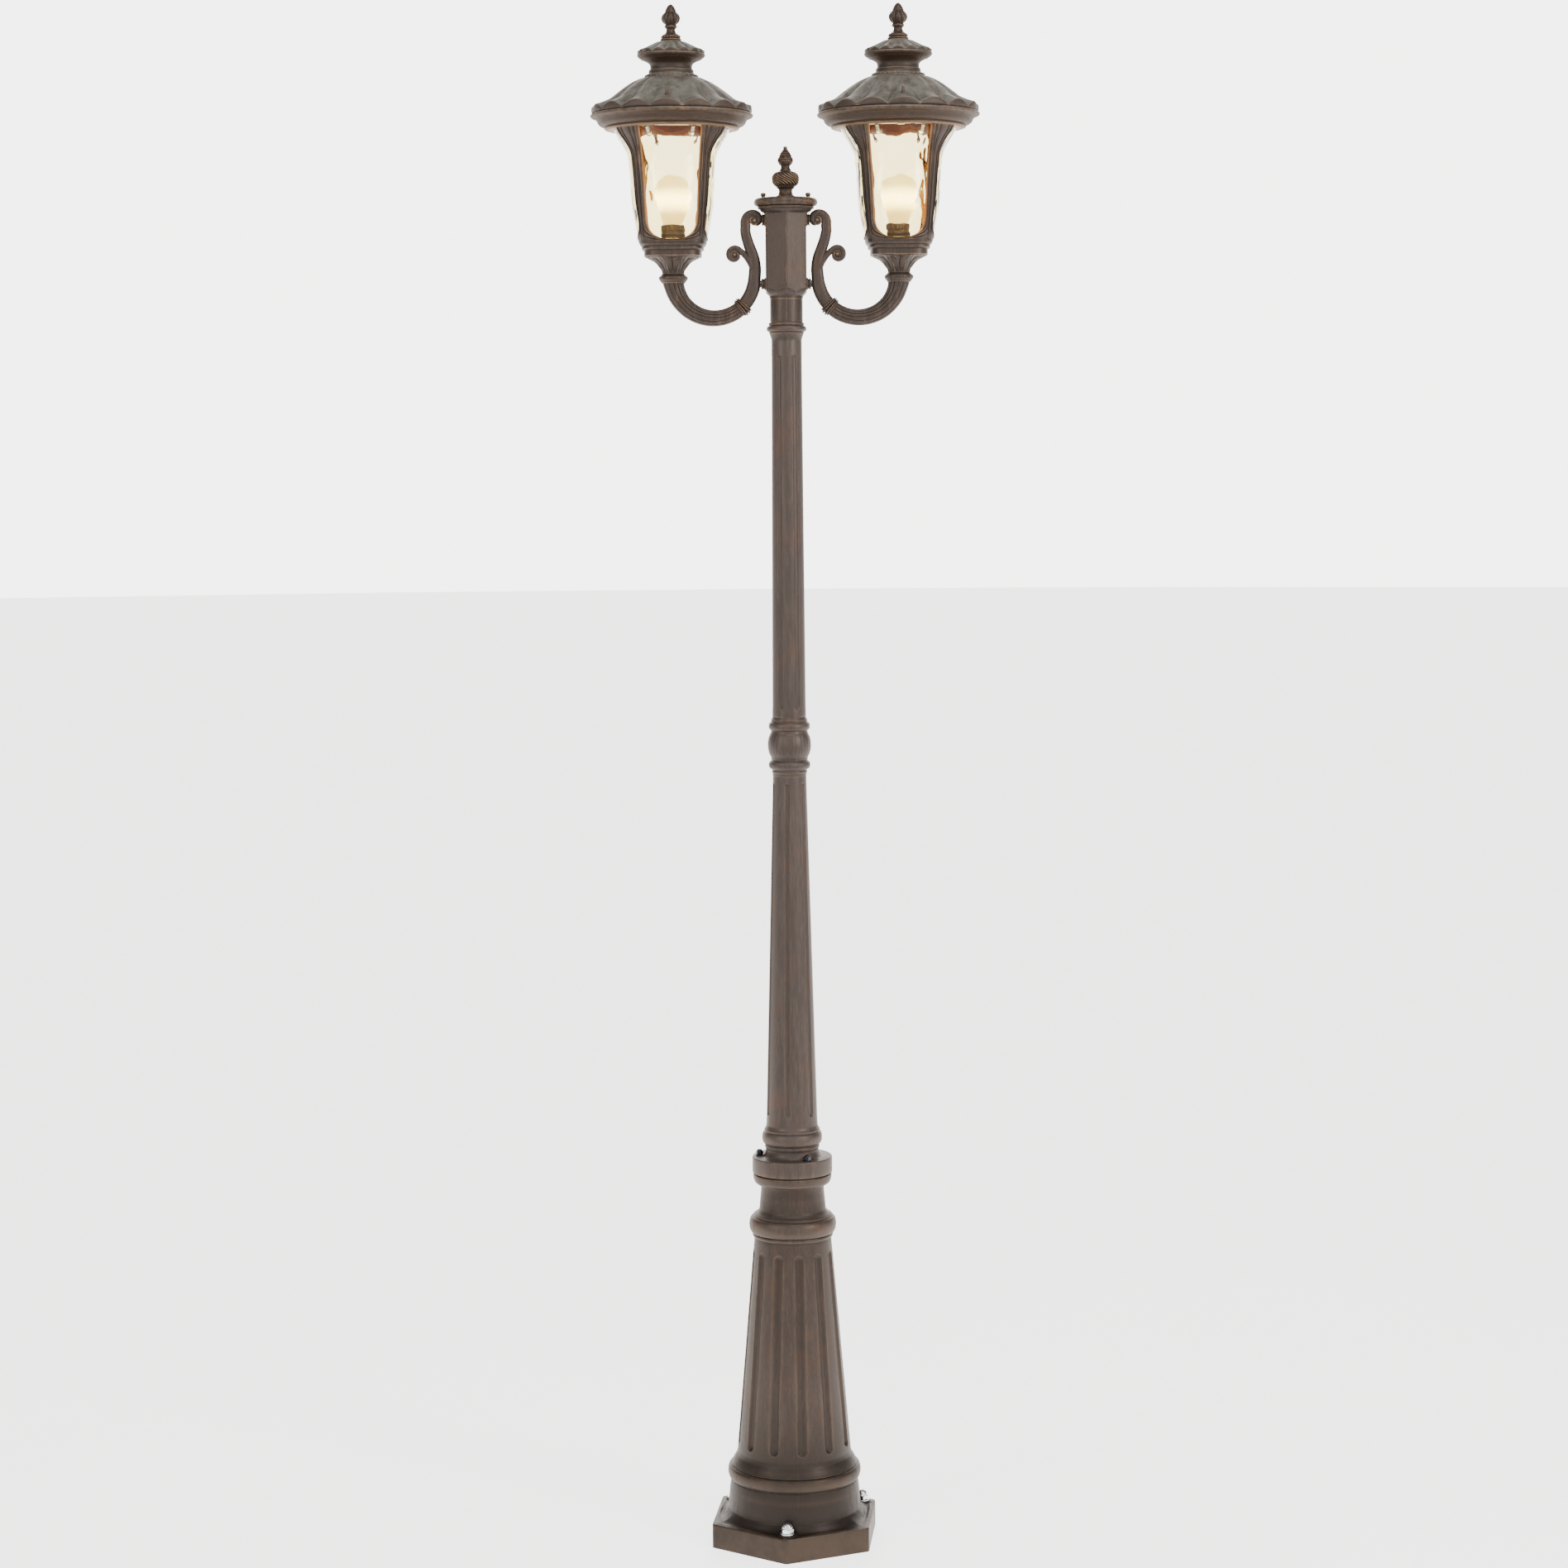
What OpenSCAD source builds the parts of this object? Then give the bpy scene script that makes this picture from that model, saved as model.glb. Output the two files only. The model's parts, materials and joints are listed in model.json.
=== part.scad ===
// Twin-lantern street lamp post: cast pedestal, fluted two-part shaft, two scrolled
// arms and two four-sided glass lanterns with lift-off roofs.
// Millimetres, +Z up, origin on the ground in the middle of the base, front towards -Y.
// Angles called phi are counted round the post from the front, towards +X.

/* [Pedestal] */
// Corner radius of the six-sided plinth
plinth_r = 147; // [142:1:150]
// Height of the plinth's upright sides
plinth_h = 39; // [36:1:42]
// Turn of the whole base about the post's axis
base_turn = -5.7; // [-30:0.1:30]
// Height of the pedestal up to the shaft flange
pedestal_h = 606; // [560:2:660]
// Wall of the castings
wall = 5; // [4:0.5:6]
// Circle through the ground anchors
anchor_pcd = 244; // [240:1:248]
// Clearance hole for an M12 ground anchor
anchor_hole_r = 6.5; // [6.3:0.1:7]

/* [Shaft] */
// Length of the lower shaft, flange included
lower_shaft_h = 644; // [560:2:720]
// Length of the upper shaft below its sleeve
upper_shaft_h = 624; // [540:2:700]
// Outer radius of the tube that couples the shafts
coupling_r = 22; // [21:0.1:22]

/* [Head] */
// Distance from the post's axis to each lantern's axis
arm_reach = 178; // [176:1:200]
// Corner radius of the six-sided hub
hub_r = 37.2; // [37:0.1:38]
// Height of the hub, flange included
hub_h = 142; // [142:1:150]

/* [Lantern] */
// Number of petals on each roof
petals = 16; // [12:1:18]
// Thickness of the curved glass
glass_t = 3; // [2:0.5:3]
// Radius of the screw shell of a standard lamp cap
lamp_cap_r = 13; // [13:0.1:13.2]
// Height of the bulb above the lamp cap's end
bulb_h = 108; // [100:1:112]

/* [Hidden] */
$fn = 64;
eps = 0.02;
fit = 0.05; // radial gap of a screw or pin in its hole
plinth_rise = 12; // of the plinth's top, from its edges up to the pedestal
spot_h = 3; // height of the anchors' flat seats above the plinth's edges
washer_t = 2.4;

collar_h = 94;
sleeve_h = 39;
z_flange = pedestal_h;
z_collar = z_flange + lower_shaft_h;
z_upper = z_collar + collar_h;
z_sleeve = z_upper + upper_shaft_h;
z_hub = z_sleeve + sleeve_h;
z_cap = z_hub + hub_h;

// arms: a U bend about a point between post and lantern, in the XZ plane
bend_r = 64;
bend_x = arm_reach - bend_r;
bend_z = z_hub + 33;
bend_tube_r = 13;
wire_bore_r = 7;
band_from = 222;
band_to = 230;
strap_depth = 18;
upper_fix_z = bend_z + 89;
lower_fix_z = bend_z - 11;
hub_flat = hub_r * cos(30);
hub_wall = 3.6;
upper_boss_r = 10.3;
upper_boss_h = 5.4;
lower_boss_r = 9.6;
lower_boss_h = 7;

// lantern heights, from the top face of the arm's seat
z_lantern = bend_z + 6;
cage_z = 26;
rim_z = 57;
glass_z = 58;
ring_z = 223;
ring_t = 5;
roof_z = 224;
roof_top_z = 301;
crown_z = roof_top_z;
crown_top_z = 361;
roof_screw_r = 97;
nipple_r = 6.5;
nipple_bore_r = 4;
lead_r = 3;
socket_z = 40;
lamp_z = socket_z + 5.5;
stud_r = 3;
hub_stud_r = 4;
anchor_phi = [0, 120, 240];
flange_bolt_phi = [27, 147, 267];
flange_bolt_circle = 53;
cap_screw_x = 35.2;

bronze = "#5a4b44";
gilt = "#a8825a";
steel = "#c9ccd0";
dark_steel = "#6d7178";

// ---------- helpers ----------

// Half-round bead on a turned outline: middle at height z, h tall, standing b proud of r.
function bead(r, z, h, b) = [for (a = [-90:22.5:90]) [r + b * cos(a), z + h / 2 * sin(a)]];

// Ball on a turned outline between two necks of radius r1 (below) and r2 (above).
function ball(r, z, r1, r2) =
    let (a1 = -acos(r1 / r), a2 = acos(r2 / r))
    [for (i = [0:12]) let (a = a1 + (a2 - a1) * i / 12) [r * cos(a), z + r * sin(a)]];

// The outline up to the axis, as a closed half section.
function to_axis(outline) =
    concat([[0, outline[0][1]]], outline, [[0, outline[len(outline) - 1][1]]]);

// The band of thickness t just inside an outline, as a closed section.
function skin(outline, t) =
    let (n = len(outline))
    concat(outline, [for (i = [n - 1:-1:0]) [outline[i][0] - t, outline[i][1]]]);

module turned(outline) {
    rotate_extrude() polygon(to_axis(outline));
}

module around(phis, r) {
    for (phi = phis)
        rotate([0, 0, phi]) translate([0, -r, 0]) children();
}

module hole(r, z0, z1) {
    translate([0, 0, z0]) cylinder(r = r, h = z1 - z0);
}

module ring(r_out, r_in, z0, z1) {
    difference() {
        hole(r_out, z0, z1);
        hole(r_in, z0 - 1, z1 + 1);
    }
}

// Long round-ended cutter, standing upright about its middle.
module capsule(r, l) {
    arc = [for (a = [0:15:90]) [r * cos(a), l / 2 - r + r * sin(a)]];
    low = [for (a = [-90:15:0]) [r * cos(a), r - l / 2 + r * sin(a)]];
    rotate_extrude() polygon(concat([[0, -l / 2]], low, arc, [[0, l / 2]]));
}

// Flutes cut into a tapering wall that is r0 at height z0 and r1 at height z1.
module flutes(n, phi, r0, z0, r1, z1, width, depth) {
    cut_r = (width * width / 4 + depth * depth) / (2 * depth);
    lean = atan((r0 - r1) / (z1 - z0));
    around([for (k = [0:n - 1]) phi + 360 * k / n], (r0 + r1) / 2 + cut_r - depth)
        translate([0, 0, (z0 + z1) / 2]) rotate([-lean, 0, 0]) capsule(cut_r, z1 - z0);
}

// Children are drawn for the right-hand side and mirrored for the left.
module on_side(side) {
    mirror([side < 0 ? 1 : 0, 0, 0]) children();
}

module at_lantern(side) {
    on_side(side) translate([arm_reach, 0, z_lantern]) children();
}

// Part of the arm's U bend: a round bar of radius r between two angles.
module bend_bar(r, from, to) {
    translate([bend_x, 0, bend_z]) rotate([90, 0, 0]) rotate([0, 0, from])
        rotate_extrude(angle = to - from) translate([bend_r, 0]) circle(r = r);
}

// ---------- post ----------

pedestal_taper_top = pedestal_h - 109;
pedestal_outline = concat(
    [[108.5, plinth_h + plinth_rise - 2], [107.6, 60], [106.4, 70], [105.5, 84], [103.4, 99]],
    bead(103.4, 112.5, 22, 4.9),
    [[101.5, 124.5], [101, 127.5], [98.2, 133.5], [94.4, 139.5], [92.4, 146], [92, 150],
     [62.2, pedestal_taper_top], [64.6, pedestal_taper_top + 4], [64.6, pedestal_taper_top + 9]],
    bead(64.4, pedestal_taper_top + 23.5, 27, 6.2),
    [[62.6, pedestal_h - 69], [57.5, pedestal_h - 65.4], [54.6, pedestal_h - 62],
     [53.7, pedestal_h - 58], [50.9, pedestal_h - 27], [51.5, pedestal_h - 21],
     [57, pedestal_h - 19], [60.5, pedestal_h - 16.5], [62.6, pedestal_h - 12],
     [63.5, pedestal_h - 7], [63.5, pedestal_h - 3], [61, pedestal_h - 2], [61, pedestal_h]]);

module base_pedestal() {
    pocket_r = 101;
    neck_bore_r = 40;
    color(bronze) rotate([0, 0, base_turn]) difference() {
        union() {
            hull() {
                rotate([0, 0, 30]) cylinder(r = plinth_r, h = plinth_h, $fn = 6);
                cylinder(r = 111, h = plinth_h + plinth_rise, $fn = 48);
            }
            turned(pedestal_outline);
        }
        difference() {
            translate([0, 0, -1]) rotate([0, 0, 30])
                cylinder(r = plinth_r - 9, h = plinth_h - 4, $fn = 6);
            around(anchor_phi, anchor_pcd / 2) hole(14, -2, plinth_h);
        }
        rotate_extrude() polygon([
            [0, -1], [pocket_r, -1], [pocket_r - 1, 84], [96, 110], [95, 122],
            [92 - wall, 144], [62.2 - wall, pedestal_taper_top],
            [62.2 - wall, pedestal_taper_top + 36], [neck_bore_r, pedestal_h - 50],
            [neck_bore_r, pedestal_h + 1], [0, pedestal_h + 1]]);
        around(anchor_phi, anchor_pcd / 2) {
            hole(anchor_hole_r, -1, plinth_h + 20);
            hole(12.6, plinth_h + spot_h, plinth_h + 30);
        }
        flutes(12, 8.5 - base_turn, 90.7, 165, 63.7, pedestal_taper_top - 17, 15, 3);
        rotate([0, 0, -base_turn]) around(flange_bolt_phi, flange_bolt_circle)
            hole(3 + fit, pedestal_h - 16, pedestal_h + 1);
    }
}

module anchor_washers() {
    color(steel) rotate([0, 0, base_turn]) around(anchor_phi, anchor_pcd / 2)
        ring(12, 6.3, plinth_h + spot_h, plinth_h + spot_h + washer_t);
}

// Low cap nuts, 19 mm across flats.
module anchor_cap_nuts() {
    nut_z = plinth_h + spot_h + washer_t;
    hex_h = 7;
    dome_r = 9.2;
    nut_h = 16;
    color(steel) rotate([0, 0, base_turn]) around(anchor_phi, anchor_pcd / 2) difference() {
        translate([0, 0, nut_z]) union() {
            cylinder(r = 10.9, h = hex_h, $fn = 6);
            turned(concat([[dome_r + 0.2, hex_h - 2]], [for (a = [0:15:75])
                [dome_r * cos(a), hex_h + (nut_h - hex_h) * sin(a)]], [[0.6, nut_h]]));
        }
        hole(6, nut_z - 1, nut_z + 11);
    }
}

module flange_bolts() {
    head_z = z_flange + 26;
    color(dark_steel) around(flange_bolt_phi, flange_bolt_circle) {
        translate([0, 0, head_z]) cylinder(r = 6.3, h = 7, $fn = 6);
        translate([0, 0, head_z]) turned([[5.4, 6], [5.4, 7], [4.6, 8.6], [3, 9.7]]);
        hole(3, z_flange - 14, head_z + 1);
    }
}

// Sealed joint between the buried feed and the post's own cable.
module base_splice() {
    color("#2b2b2c") turned([[10, 160], [12, 163], [12, 212], [8, 218], [6, 222]]);
}

module supply_cable() {
    color("#3a3a3c") hole(4.5, 222, bend_z + 22);
}

module lower_shaft() {
    top = lower_shaft_h;
    ring_mid_z = 58;
    taper_z = 90;
    outline = concat(
        [[64.6, 0], [64.6, 26], [46, 26], [42.7, 38], [43.7, 42]],
        bead(44.6, ring_mid_z, 28, 4),
        [[41.5, 76], [40.9, taper_z], [27.4, top - 30], [26.8, top]]);
    color(bronze) translate([0, 0, z_flange]) difference() {
        turned(outline);
        rotate_extrude() polygon([
            [0, -1], [40, -1], [36, 30], [35, taper_z], [coupling_r + 0.1, top - 50],
            [coupling_r + 0.1, top + 1], [0, top + 1]]);
        flutes(6, -10, 40.6, 94, 27.6, top - 10, 8, 2);
        around(flange_bolt_phi, flange_bolt_circle) hole(3.3, -1, 27);
    }
}

module shaft_collar() {
    outline = concat(
        [[27, 0], [27.5, 6], [29.1, 10]], bead(30, 16.5, 10, 3.2),
        [[29.4, 25]], [for (i = [0:10]) let (a = -50 + 10 * i) [22.5 + 12 * cos(a), 48.5 + 24 * sin(a)]],
        [[29.6, 70.2]], bead(30, 79, 10, 3.2),
        [[29.2, 90], [27, 94]]);
    color(bronze) translate([0, 0, z_collar]) difference() {
        turned(outline);
        hole(coupling_r + 0.1, -1, collar_h + 1);
    }
}

module coupling_tube() {
    color(dark_steel) ring(coupling_r, coupling_r - 4, z_collar - 49, z_upper + 55);
}

module upper_shaft() {
    top = upper_shaft_h;
    outline = concat(
        [[26.9, 0], [26.7, 20], [24, top - 30], [24, top - 27], [26.3, top - 19],
         [28.2, top - 15], [31.5, top - 11.5], [31.6, top - 7], [28.1, top - 3],
         [28.1, top], [22.4, top], [22.4, top + 36]]);
    color(bronze) translate([0, 0, z_upper]) difference() {
        turned(outline);
        rotate_extrude() polygon([
            [0, -1], [coupling_r + 0.1, -1], [coupling_r + 0.1, 57], [20.5, 60],
            [18.4, top - 30], [18.4, top + 40], [0, top + 40]]);
        flutes(6, 30, 26.7, 14, 24, top - 50, 8, 1.8);
    }
}

// Sleeve that drops over the shaft's spigot and carries the hub on its threaded top.
module head_sleeve() {
    color(bronze) translate([0, 0, z_sleeve]) difference() {
        turned([[25.8, 0], [25.8, sleeve_h], [14, sleeve_h], [14, sleeve_h + 21]]);
        hole(22.5, -1, sleeve_h - 2.8);
        hole(10, 0, sleeve_h + 30);
        for (phi = [120, 240])
            rotate([0, 0, phi]) translate([0, -20, 20]) rotate([90, 0, 0]) hole(2.5 + fit, 0, 10);
    }
}

module sleeve_screws() {
    color(dark_steel) translate([0, 0, z_sleeve + 20]) for (phi = [120, 240])
        rotate([0, 0, phi]) rotate([90, 0, 0]) difference() {
            hole(2.5, 22.42, 26.6);
            translate([0, 0, 25]) cylinder(r = 1.4, h = 3, $fn = 6);
        }
}

module hub_locknut() {
    color(steel) difference() {
        translate([0, 0, z_hub + 13]) cylinder(r = 20, h = 6, $fn = 6);
        hole(14 + fit, z_hub + 12, z_hub + 20);
    }
}

module arm_hub() {
    floor_z = z_hub + 13;
    color(bronze) difference() {
        union() {
            translate([0, 0, floor_z]) rotate([0, 0, 30])
                cylinder(r = hub_r, h = hub_h - 17, $fn = 6);
            translate([0, 0, z_hub]) turned([[25.7, 0], [27.3, 4], [31.6, 8], [hub_flat - 0.1, 14]]);
            translate([0, 0, z_hub]) turned([[36, hub_h - 7], [41, hub_h - 4], [44.7, hub_h - 2],
                [44.7, hub_h]]);
        }
        translate([0, 0, floor_z]) rotate([0, 0, 30])
            cylinder(r = hub_r - hub_wall, h = hub_h, $fn = 6);
        hole(14 + 2 * fit, z_hub - 1, floor_z + 1);
        for (side = [-1, 1]) on_side(side) {
            translate([20, 0, upper_fix_z]) rotate([0, 90, 0]) hole(3 + fit, 0, 20);
            translate([20, 0, lower_fix_z]) rotate([0, 90, 0]) hole(5.5 + fit, 0, 20);
            translate([cap_screw_x, 0, 0]) hole(2 + fit, z_cap - 12, z_cap + 1);
        }
    }
}

module splice_block() {
    color("#d8d2c4") translate([-20, -8, bend_z + 22]) cube([40, 16, 20]);
}

// ---------- hub cap and finial ----------

module hub_cap() {
    color(bronze) translate([0, 0, z_cap + 0.3]) difference() {
        turned([[46, 0], [50.2, 4], [50.2, 8], [47.3, 11.7], [44, 13.7], [18, 14.7]]);
        translate([0, 0, -1]) turned([[27, 0], [27, 8], [20, 10]]);
        hole(hub_stud_r + fit, 0, 20);
        for (side = [-1, 1]) translate([side * cap_screw_x, 0, 0]) hole(2 + 2 * fit, -1, 20);
    }
}

module hub_cap_screws() {
    color(steel) for (side = [-1, 1]) translate([side * cap_screw_x, 0, z_cap]) {
        hole(2, -8, 15);
        hole(3, 14.5, 18);
        turned([[4.15, 17], [4.15, 20.6], [3, 22]]);
    }
}

module hub_finial_stud() {
    color(dark_steel) translate([0, 0, z_cap]) {
        hole(hub_stud_r, 5, 48);
        translate([0, 0, 4.9]) cylinder(r = 8, h = 4.3, $fn = 6);
    }
}

module hub_finial() {
    color(bronze) translate([0, 0, z_cap + 15.1]) difference() {
        turned(concat(
            [[16, 0], [11.7, 3], [10.5, 7], [10.8, 11], [12.5, 14], [15.5, 16], [18.6, 21],
             [20.9, 26], [21.1, 29], [20, 34], [18.4, 37], [15.7, 39], [10.3, 42], [6.8, 47],
             [8, 49.6]],
            ball(12, 56, 9, 8), [[4, 74], [0.6, 79]]));
        hole(hub_stud_r + fit, -1, 34);
    }
}

// ---------- arms, drawn on the right-hand side ----------

// Points of a spiral about [cx, cz]: [x, z, half width].
function spiral(cx, cz, r0, r1, a0, a1, w0, w1, n) =
    [for (i = [0:n]) let (t = i / n, a = a0 + (a1 - a0) * t, r = r0 + (r1 - r0) * pow(t, 0.8))
        [cx + r * cos(a), cz + r * sin(a), w0 + (w1 - w0) * t]];

module strap(points, depth) {
    for (i = [0:len(points) - 2])
        hull() for (p = [points[i], points[i + 1]])
            translate([p[0], 0, p[1]]) rotate([90, 0, 0])
                cylinder(r = p[2], h = depth, center = true, $fn = 20);
}

module arm_scroll(side) {
    stem = [
        [bend_x - bend_r - 0.5, bend_z, 10.5], [bend_x - bend_r - 0.8, bend_z + 18, 10],
        [51.5, bend_z + 31, 9.3], [57, bend_z + 45, 9], [61.2, bend_z + 58, 8.6]];
    volute = spiral(49, bend_z + 88, 20.5, 8, -47, 190, 8.4, 4.6, 9);
    branch = spiral(80.7, bend_z + 35.3, 27, 8.6, 207, -130, 7, 4.6, 9);
    color(bronze) on_side(side) difference() {
        union() {
            translate([bend_x, 0, bend_z]) rotate([90, 0, 0]) rotate([0, 0, 178])
                rotate_extrude(angle = band_from - 178)
                    translate([bend_r, 0])
                        polygon([[-10.5, -5], [-7, -9], [7, -9], [10.5, -5],
                                 [10.5, 5], [7, 9], [-7, 9], [-10.5, 5]]);
            strap(stem, strap_depth);
            strap(concat([stem[4]], volute), strap_depth - 2);
            strap(branch, strap_depth - 4);
            translate([49, 0, bend_z + 88]) rotate([90, 0, 0])
                cylinder(r = 4.5, h = strap_depth, center = true, $fn = 20);
            translate([80.7, 0, bend_z + 35.3]) rotate([90, 0, 0])
                cylinder(r = 4.5, h = strap_depth - 2, center = true, $fn = 20);
        }
        bend_bar(5, 184, band_from + 1);
        translate([38, 0, lower_fix_z]) rotate([0, 90, 0]) hole(5.5 + 2 * fit, -2, 13);
        translate([36, 0, upper_fix_z]) rotate([0, 90, 0]) hole(3 + fit, -3, 10);
        boss_seats();
    }
}

module arm_band(side) {
    color(gilt) on_side(side) difference() {
        union() {
            bend_bar(14.5, band_from, band_to);
            bend_bar(16.3, band_from + 1, band_from + 3);
            bend_bar(16.3, band_to - 3, band_to - 1);
        }
        bend_bar(5, band_from - 1, band_to + 1);
    }
}

module arm_bend(side) {
    seat = z_lantern - bend_z;
    color(bronze) on_side(side) difference() {
        union() {
            bend_bar(bend_tube_r, band_to, 360);
            translate([arm_reach, 0, bend_z]) turned([[13, -9.5], [18.4, -9], [21.2, -4.2],
                [22.8, -0.4], [21.2, 2], [17.8, seat]]);
        }
        bend_bar(wire_bore_r, band_to - 1, 352);
        translate([arm_reach, 0, bend_z]) hole(wire_bore_r + 1.2, -14, 0);
        translate([arm_reach, 0, bend_z]) hole(nipple_r + fit, 0, seat + 1);
    }
}

module arm_bosses(side) {
    color(bronze) on_side(side) {
        translate([hub_flat, 0, upper_fix_z]) rotate([0, 90, 0]) difference() {
            hole(upper_boss_r, 0, upper_boss_h);
            hole(3 + fit, -1, 8);
        }
        translate([hub_flat, 0, lower_fix_z]) rotate([0, 90, 0]) difference() {
            turned([[lower_boss_r, 0], [lower_boss_r, 2.5], [8, 3.6], [8.4, 5.4], [7, lower_boss_h]]);
            hole(5.5 + fit, -1, 9);
        }
    }
}

// Seats that the scroll has for the two bosses between it and the hub.
module boss_seats() {
    translate([hub_flat, 0, upper_fix_z]) rotate([0, 90, 0])
        hole(upper_boss_r + 0.3, -1, upper_boss_h + eps);
    translate([hub_flat, 0, lower_fix_z]) rotate([0, 90, 0])
        hole(lower_boss_r + 0.3, -1, lower_boss_h + eps);
}

// Upper screw, lower hollow nipple and its locknut, all reached from inside the hub.
module arm_fixings(side) {
    inner = hub_flat - hub_wall * cos(30);
    color(steel) on_side(side) {
        translate([0, 0, upper_fix_z]) rotate([0, 90, 0]) {
            hole(3, inner - 1, 44);
            hole(5.2, inner - 3.6, inner - 0.02);
        }
        translate([0, 0, lower_fix_z]) rotate([0, 90, 0]) {
            ring(5.5, 3.6, inner - 6, 44.5);
        }
        translate([0, 0, lower_fix_z]) rotate([0, 90, 0]) difference() {
            translate([0, 0, inner - 3.6]) cylinder(r = 8.5, h = 3.58, $fn = 6);
            hole(5.5 + fit, inner - 5, inner + 1);
        }
    }
}

// Lead from the splice block through the arm to the lamp socket.
module lamp_lead(side) {
    corner = [for (a = [180:30:270]) [20 + 8 * cos(a), lower_fix_z + 8 + 8 * sin(a)]];
    entry = [for (a = [90:-30:0]) [43 + 8 * cos(a), lower_fix_z - 8 + 8 * sin(a)]];
    bend = [for (a = [198:13.5:360]) [bend_x + bend_r * cos(a), bend_z + bend_r * sin(a)]];
    route = concat([[12, bend_z + 22 - lead_r]], corner, entry, bend, [[arm_reach, bend_z + 46]]);
    color("#e4ddc8") on_side(side)
        for (i = [0:len(route) - 2])
            hull() for (p = [route[i], route[i + 1]])
                translate([p[0], 0, p[1]]) sphere(r = lead_r, $fn = 10);
}

// ---------- lanterns, drawn about the lantern's own axis ----------

glass_outline = [[55.5, glass_z], [60, 78], [65, 109], [67, 144], [69, 169], [72, 187],
    [80, 203], [86, 212], [90, 220]];
post_outline = concat([[54, rim_z - 6], [55.5, rim_z]], glass_outline, [[93, ring_z + 1]]);

module lantern_nipple(side) {
    color("#b08d4f") at_lantern(side) ring(nipple_r, nipple_bore_r, -10, socket_z + 4);
}

module lantern_locknut(side) {
    color("#b08d4f") at_lantern(side) difference() {
        translate([0, 0, 31]) cylinder(r = 11.5, h = 5, $fn = 6);
        hole(nipple_r + fit, 30, 40);
    }
}

module lantern_cup(side) {
    color(bronze) at_lantern(side) difference() {
        turned([[18, 0], [20.5, 3.5], [24.2, 7], [29.5, 13], [34.6, 20], [38, cage_z]]);
        translate([0, 0, 8]) turned([[10, 0], [26, 9], [32, 19]]);
        hole(nipple_r + fit, -1, 12);
    }
}

module lantern_cage(side) {
    bowl = [[45.3, cage_z], [45.3, 35.5], [48.9, 37.5], [48.9, 41], [51.4, 44], [56, 52],
            [59, rim_z]];
    post_half = 9;
    shoulder_half = 15;
    color(bronze) at_lantern(side) difference() {
        union() {
            difference() {
                turned(bowl);
                translate([0, 0, 31]) turned([[40, 0], [40, 2], [46, 9], [51, 22], [53, 30]]);
            }
            for (a = [45:90:315]) rotate([0, 0, a - post_half])
                rotate_extrude(angle = 2 * post_half)
                    polygon(skin([for (p = post_outline) [p[0] + 9, p[1]]], 8.5));
            for (a = [45:90:315]) rotate([0, 0, a - shoulder_half])
                rotate_extrude(angle = 2 * shoulder_half)
                    polygon([[86.6, 212], [94.6, 212], [99, 220], [102, ring_z + 1], [90.6, ring_z + 1],
                             [90.6, 220]]);
            ring(102, 88, ring_z, ring_z + ring_t);
        }
        hole(nipple_r + fit, cage_z - 1, 40);
        around(anchor_phi, roof_screw_r) hole(2 + fit, ring_z - 12, ring_z + 10);
    }
}

module glass_panels(side) {
    half = 43;
    color("#c98a3c", 0.6) at_lantern(side) for (a = [0:90:270])
        rotate([0, 0, a - half]) rotate_extrude(angle = 2 * half)
            polygon(skin(glass_outline, glass_t));
}

// Small bright clips that hold the panels' top edges against the cage ring.
module glass_clips(side) {
    color(steel) at_lantern(side) for (a = [0:90:270], off = [-24, 24])
        rotate([0, 0, a + off - 2.5]) rotate_extrude(angle = 5)
            polygon([[84.8, ring_z], [92, ring_z], [92, ring_z - 1.6], [86.2, ring_z - 1.6],
                     [82.4, 212], [80.8, 212]]);
}

module lamp_socket(side) {
    color("#4a3226") at_lantern(side) difference() {
        turned([[14, socket_z], [18, socket_z + 4], [19, socket_z + 10], [19, 76]]);
        hole(nipple_r + fit, socket_z - 1, lamp_z + 1);
        hole(lamp_cap_r + 2 * fit, lamp_z - 0.5, 80);
        hole(16.6, 69.5, 80);
    }
}

module bulb_cap(side) {
    color(steel) at_lantern(side) difference() {
        translate([0, 0, lamp_z]) turned([[5, 0], [6, 2], [lamp_cap_r, 5], [lamp_cap_r, 25]]);
        hole(lamp_cap_r - 1, lamp_z + 6, lamp_z + 30);
    }
}

module bulb_glass(side) {
    neck = 25;
    ball_r = 30;
    ball_z = bulb_h - ball_r;
    rise = ball_z - neck - ball_r * sin(25);
    swell = [for (t = [0:0.125:0.875])
        [14.2 + (ball_r * cos(25) - 14.2) * (1 - cos(180 * t)) / 2, neck + rise * t]];
    dome = [for (a = [-25:12.5:75]) [ball_r * cos(a), ball_z + ball_r * sin(a)]];
    color("#f3e3c0") at_lantern(side) translate([0, 0, lamp_z]) difference() {
        turned(concat(swell, dome, [[0.6, bulb_h]]));
        translate([0, 0, -0.01]) turned(concat([for (p = swell) [p[0] - 1.2, p[1]]],
            [for (p = dome) [p[0] * 0.96, ball_z + (p[1] - ball_z) * 0.96]],
            [[0.6, bulb_h - 1.2]]));
    }
}

roof_outline = [[105, roof_z], [107.5, 228], [113.5, 232], [117, 235.5], [120, 239],
    [124.8, 243], [127.7, 247], [127.5, 251], [125.7, 258.6], [120, 262], [108.6, 266],
    [98.4, 270], [89.6, 278], [80, 285], [68.6, 293], [53.4, 300], [46, roof_top_z]];

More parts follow.
